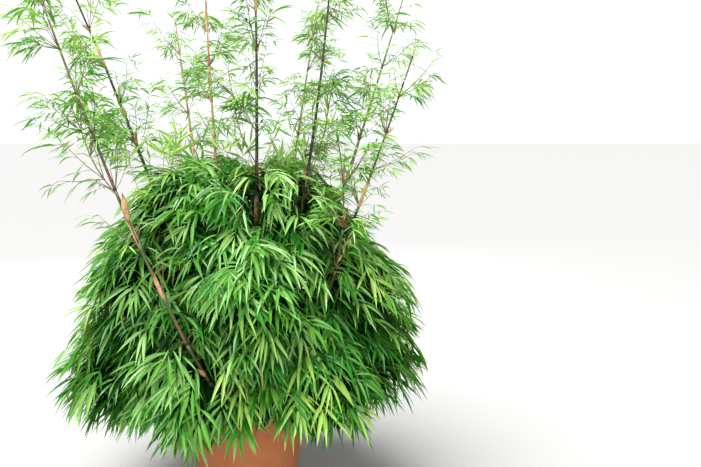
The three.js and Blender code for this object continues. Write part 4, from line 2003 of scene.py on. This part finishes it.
@dataclass
class Bamboo:
    """The whole clump: canes, boughs, twigs and leaves over the pot."""

    rng: Rng
    twigs: TwigRows = field(default_factory=TwigRows)
    fans: list[Fan] = field(default_factory=list)
    names: list[str] = field(default_factory=lambda: sorted(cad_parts))
    kinds: dict[str, CaneKind] = field(default_factory=lambda: {
        "cane_front_left": CaneKind.AGED, "cane_short_front": CaneKind.AGED,
        "cane_middle_back": CaneKind.TAN, "cane_back_left": CaneKind.TAN,
        "cane_right": CaneKind.GREEN, "cane_back_right": CaneKind.GREEN})
    bare_stretches: tuple[BareStretch, ...] = (
        BareStretch("cane_front_left", 0.26, 0.62), BareStretch("cane_short_front", 0.52, 0.9),
        BareStretch("cane_middle", 0.43, 0.59, (0.14, -0.985, 0.08), 0.5),
        BareStretch("cane_middle_right", 0.46, 0.59, (0.08, -0.985, 0.08), 0.5))
    fallen_leaves: int = 70
    fallen_length: Range = (0.06, 0.12)
    fallen_spread: float = 0.86
    fallen_lift: float = 9 * MM
    sunk: float = 14 * MM
    internode: float = 0.155
    # A cane with its ridges is as thick as its node when its own radius is this share of the node's.
    slimming: float = 0.98
    least_tip: float = 1.6 * MM
    bough_tip: float = 1.2 * MM
    # How far a bough runs on into its mass, in slices.
    bough_onward: float = 2.2
    arching_joints: int = 9
    bough_joints: int = 4
    # A cane that leaves the soil nearly level is squashed by its flat cut. Its foot is then this share
    # of the next slice up, which makes its bare stretch as slender as the photograph's.
    squashed_foot_share: float = 0.8
    # The top tier has the fewest dark fans and the most pale ones: painted light on the top of the dome,
    # painted shade lower down.
    habits: tuple[Habit, ...] = (
        Habit(Zone.SKIRT, 86, 98, 0.148, 0.80, 0.72, 0.70, 0.42, 0.24),
        Habit(Zone.FLANK, 86, 98, 0.146, 0.88, 0.55, 0.80, 0.32, 0.34),
        Habit(Zone.SHOULDER, 84, 86, 0.138, 0.95, 0.30, 0.95, 0.18, 0.5),
    )

    def build(self) -> None:
        """Builds the canes, then grows the foliage from them."""
        works = CaneWorks()
        tall = {name: self._tall_limb(name) for name in self.names if name.startswith("cane_")}
        arching = {name: self._arching_limb(name) for name in self.names if "_cane_" in name}
        boughs = {name: self._bough_limb(name) for name in self.names if name.startswith("bough_")}
        for node, limb in {**tall, **arching, **boughs}.items():
            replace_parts(works.make(limb, self.rng), node)
        bpy.data.objects.remove(works.internode)
        LOG.info("sheaths: %s", SheathWorks().build(tall, self.rng).name)
        LOG.info("canes: %d tall, %d arching, %d boughs", len(tall), len(arching), len(boughs))
        self._grow_dome(list(tall.values()), arching)
        self._grow_plumes(tall, boughs)
        self._litter()
        bare = [(part, tall[part.cane].at(np.linspace(part.low, part.high, 34)))
                for part in self.bare_stretches]
        pieces = LeafWorks().build(self.fans, bare, self.rng)
        for piece in pieces + self.twigs.build():
            LOG.info("%s: %d faces", piece.name, len(piece.data.polygons))
        self._stand_for_masses(pieces)

    def _litter(self) -> None:
        """Lays dry leaves on the soil."""
        rng = self.rng
        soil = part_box("soil")[1]
        for _ in range(self.fallen_leaves):
            turn = rng.random() * 2 * math.pi
            radius = soil.x * self.fallen_spread * math.sqrt(rng.random())
            spot = level_way(turn) * radius + UP * (soil.z + self.fallen_lift)
            axis = unit(np.append(rng.normal(0, 1, 2), 0.12))
            face = UP + rng.normal(0, 0.15, 3)
            size = rng.uniform(*self.fallen_length)
            self.fans.append(Fan(spot, axis, face, size, 1, 0.12, Tint.STRAW, Zone.LITTER))

    def _foot(self, middles: Array) -> Array:
        """The foot of a cane, a little under the soil, from its middles."""
        return middles[0] + (middles[0] - middles[1]) * (self.sunk / (middles[1] - middles[0])[2])

    def _tall_limb(self, node: str) -> Limb:
        """The limb that follows a tall CAD cane.

        Args:
            node: The CAD node.

        Returns:
            The limb.
        """
        middles, radii = limb_slices(node, 9)
        knots = np.vstack([self._foot(middles), middles])
        kind = self.kinds.get(node, CaneKind.DARK)
        joints = round(float(np.linalg.norm(knots[-1] - knots[0])) / self.internode)
        foot_radius = max(radii[0], radii[1] * self.squashed_foot_share) * self.slimming
        tip_radius = max(radii[-1], self.least_tip)
        return Limb(f"jointed_{node}", smooth_line(knots, 30), foot_radius, tip_radius, joints, kind)

    def _arching_limb(self, node: str) -> Limb:
        """The limb that follows an arching CAD cane and runs on through its mass.

        Args:
            node: The CAD node.

        Returns:
            The limb.
        """
        middles, radii = limb_slices(node, 6)
        mass = Mass(node.replace("cane", "mass"), Zone.SKIRT)
        outward = unit(mass.middle * [1, 1, 0])
        crest = mass.middle + UP * mass.half[2] * 0.12
        far = mass.middle + outward * mass.half[:2].max() * 0.62 - UP * mass.half[2] * 0.4
        line = smooth_line(np.vstack([self._foot(middles), middles, crest, far]), 26)
        return Limb(f"jointed_{node}", line, radii[0] * self.slimming, self.least_tip,
                    self.arching_joints, CaneKind.GREEN)

    def _bough_limb(self, node: str) -> Limb:
        """The limb that follows a CAD bough and runs on into the mass over it.

        Args:
            node: The CAD node.

        Returns:
            The limb.
        """
        middles, radii = limb_slices(node, 5)
        onward = middles[-1] + (middles[-1] - middles[-2]) * self.bough_onward
        line = smooth_line(np.vstack([middles, onward]), 14)
        # The lowest slice only cuts the tip of the bough's slanting end, so the next one up counts.
        return Limb(f"jointed_{node}", line, max(radii[:2]) * self.slimming, self.bough_tip,
                    self.bough_joints, CaneKind.GREEN)

    def _grow_dome(self, tall: list[Limb], arching: dict[str, Limb]) -> None:
        """Fills every mass of the dome.

        Args:
            tall: The tall canes.
            arching: The arching canes by CAD node.
        """
        habits = {habit.zone: habit for habit in self.habits}
        masses = [Mass(node, zone) for zone in habits for node in self.names
                  if node.startswith(f"{zone.value}_mass")]
        dome = Dome(self.rng, self.twigs, self.fans, masses)
        for mass in masses:
            own = arching.get(mass.node.replace("mass", "cane"))
            dome.grow(mass, habits[mass.zone], [own] if own else tall)
        canes = tall + list(arching.values())
        dome.fill_core(canes)
        dome.thatch(canes, habits[Zone.FLANK])
        dome.close_rim(canes)
        LOG.info("dome: %d fans", len(self.fans))

    def _grow_plumes(self, tall: dict[str, Limb], boughs: dict[str, Limb]) -> None:
        """Grows the sprays of the upper canes and of the boughs that rise into them.

        Args:
            tall: The tall canes by CAD node.
            boughs: The boughs by CAD node.
        """
        plumes = Plumes(self.rng, self.twigs, self.fans)
        for name, limb in tall.items():
            mass = Mass(name.replace("cane", "plume"), Zone.PLUME)
            plumes.grow(limb, mass)
            bough = boughs.get(name.replace("cane", "bough"))
            if bough:
                plumes.grow(bough, mass)
        for part in self.bare_stretches:
            plumes.fork(tall[part.cane], (part.low, part.high))
        LOG.info("plumes: %d canes", len(tall))

    def _stand_for_masses(self, pieces: list[Piece]) -> None:
        """Hides each zone's CAD masses, now that the main leaf piece of the zone is built.

        Args:
            pieces: The leaf pieces.
        """
        by_name = {piece.name: piece for piece in pieces}
        for zone in (Zone.SKIRT, Zone.FLANK, Zone.SHOULDER, Zone.PLUME):
            marks = (f"{zone.value}_mass", "plume_") if zone is Zone.PLUME else f"{zone.value}_mass"
            nodes = [name for name in self.names if name.startswith(marks)]
            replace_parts(by_name[f"leaves_{zone.value}_{Tint.MID.value}"], *nodes)


# Floor, light and camera


@dataclass
class Studio:
    """A plain pale floor under a bright even sky, and the camera at the photograph's angle."""

    floor_size: float = 400.0
    floor_colour: str = "#929190"
    sky_colour: str = "#f6f8fb"
    sky_light: float = 0.42
    sky_seen: float = 1.0
    overhead_strength: float = 7.45
    overhead_angle_deg: float = 50.0
    overhead_turn_deg: Place = (12.0, -12.0, 0.0)
    # The softboxes: name, place and power in watts.
    softboxes: tuple[tuple[str, Place, float], ...] = (
        ("front_softbox", (1.2, -5.5, 3.2), 200.0), ("back_softbox", (-1.6, 5.5, 3.4), 130.0))
    softbox_side: float = 3.5
    crown_middle: Place = (0.0, 0.0, 1.1)
    camera_place: Place = (0.46, -2.9, 1.6)
    camera_pitch_deg: float = 8.0
    camera_lens: float = 35.0
    camera_sensor: float = 36.0

    def build(self) -> None:
        """Builds the stage."""
        self._floor()
        self._sky()
        self._overhead()
        for name, place, power in self.softboxes:
            self._softbox(name, place, power)
        self._camera()
        bpy.context.scene.view_settings.view_transform = "Standard"
        bpy.context.scene.view_settings.look = "Medium High Contrast"

    def _floor(self) -> None:
        """Lays a wide pale floor."""
        deselect_all()
        bpy.ops.mesh.primitive_plane_add(size=self.floor_size, location=(0, 0, 0))
        floor = bpy.context.object
        floor.name = "studio_floor"
        material, shader, _ = new_material("matt_floor_paint")
        feed(shader, {"Base Color": self.floor_colour, "Roughness": 0.9})
        floor.data.materials.append(material)

    def _sky(self) -> None:
        """Makes an even white sky, brighter to the camera than as a light."""
        world = bpy.data.worlds.new("studio_sky")
        bpy.context.scene.world = world
        world.use_nodes = True
        add, nodes = partial(add_node, world.node_tree), world.node_tree.nodes
        light = feed(nodes["Background"], {"Color": self.sky_colour, "Strength": self.sky_light})
        seen = add("Background", {"Color": self.sky_colour, "Strength": self.sky_seen})
        ray = add("LightPath").outputs["Is Camera Ray"]
        feed(nodes["World Output"], {"Surface": add("MixShader", {0: ray, 1: light, 2: seen})})

    def _overhead(self) -> None:
        """Sets broad even light overhead, as from a bank of diffusers."""
        deselect_all()
        turn = tuple(math.radians(angle) for angle in self.overhead_turn_deg)
        bpy.ops.object.light_add(type="SUN", location=(0, 0, 6), rotation=turn)
        lamp = bpy.context.object
        lamp.name = "overhead_diffuser"
        lamp.data.energy = self.overhead_strength
        lamp.data.angle = math.radians(self.overhead_angle_deg)

    def _softbox(self, name: str, place: Place, power: float) -> None:
        """Sets a large soft lamp that faces the middle of the crown.

        Args:
            name: The lamp's name.
            place: Where it hangs.
            power: Its power in watts.
        """
        deselect_all()
        bpy.ops.object.light_add(type="AREA", location=place)
        lamp = bpy.context.object
        lamp.name = name
        lamp.data.size = self.softbox_side
        lamp.data.energy = power
        aim = Vector(self.crown_middle) - Vector(place)
        lamp.rotation_euler = aim.to_track_quat("-Z", "Y").to_euler()

    def _camera(self) -> None:
        """Sets the photograph's view: level with the upper canes, looking a little down."""
        deselect_all()
        bpy.ops.object.camera_add(
            location=self.camera_place, rotation=(math.radians(90 - self.camera_pitch_deg), 0, 0))
        camera = bpy.context.object
        camera.name = "photo_camera"
        camera.data.lens = self.camera_lens
        camera.data.sensor_width = self.camera_sensor
        bpy.context.scene.camera = camera


def main() -> None:
    """Builds the studio, the pot and its soil, then the clump."""
    logging.basicConfig(level=logging.INFO, format="%(message)s")
    rng = np.random.default_rng(SEED)
    Studio().build()
    LOG.info("pot: %s", Pot().build().name)
    LOG.info("soil: %s", [piece.name for piece in SoilBed().build(rng)])
    Bamboo(rng).build()


if __name__ == "__main__":
    main()
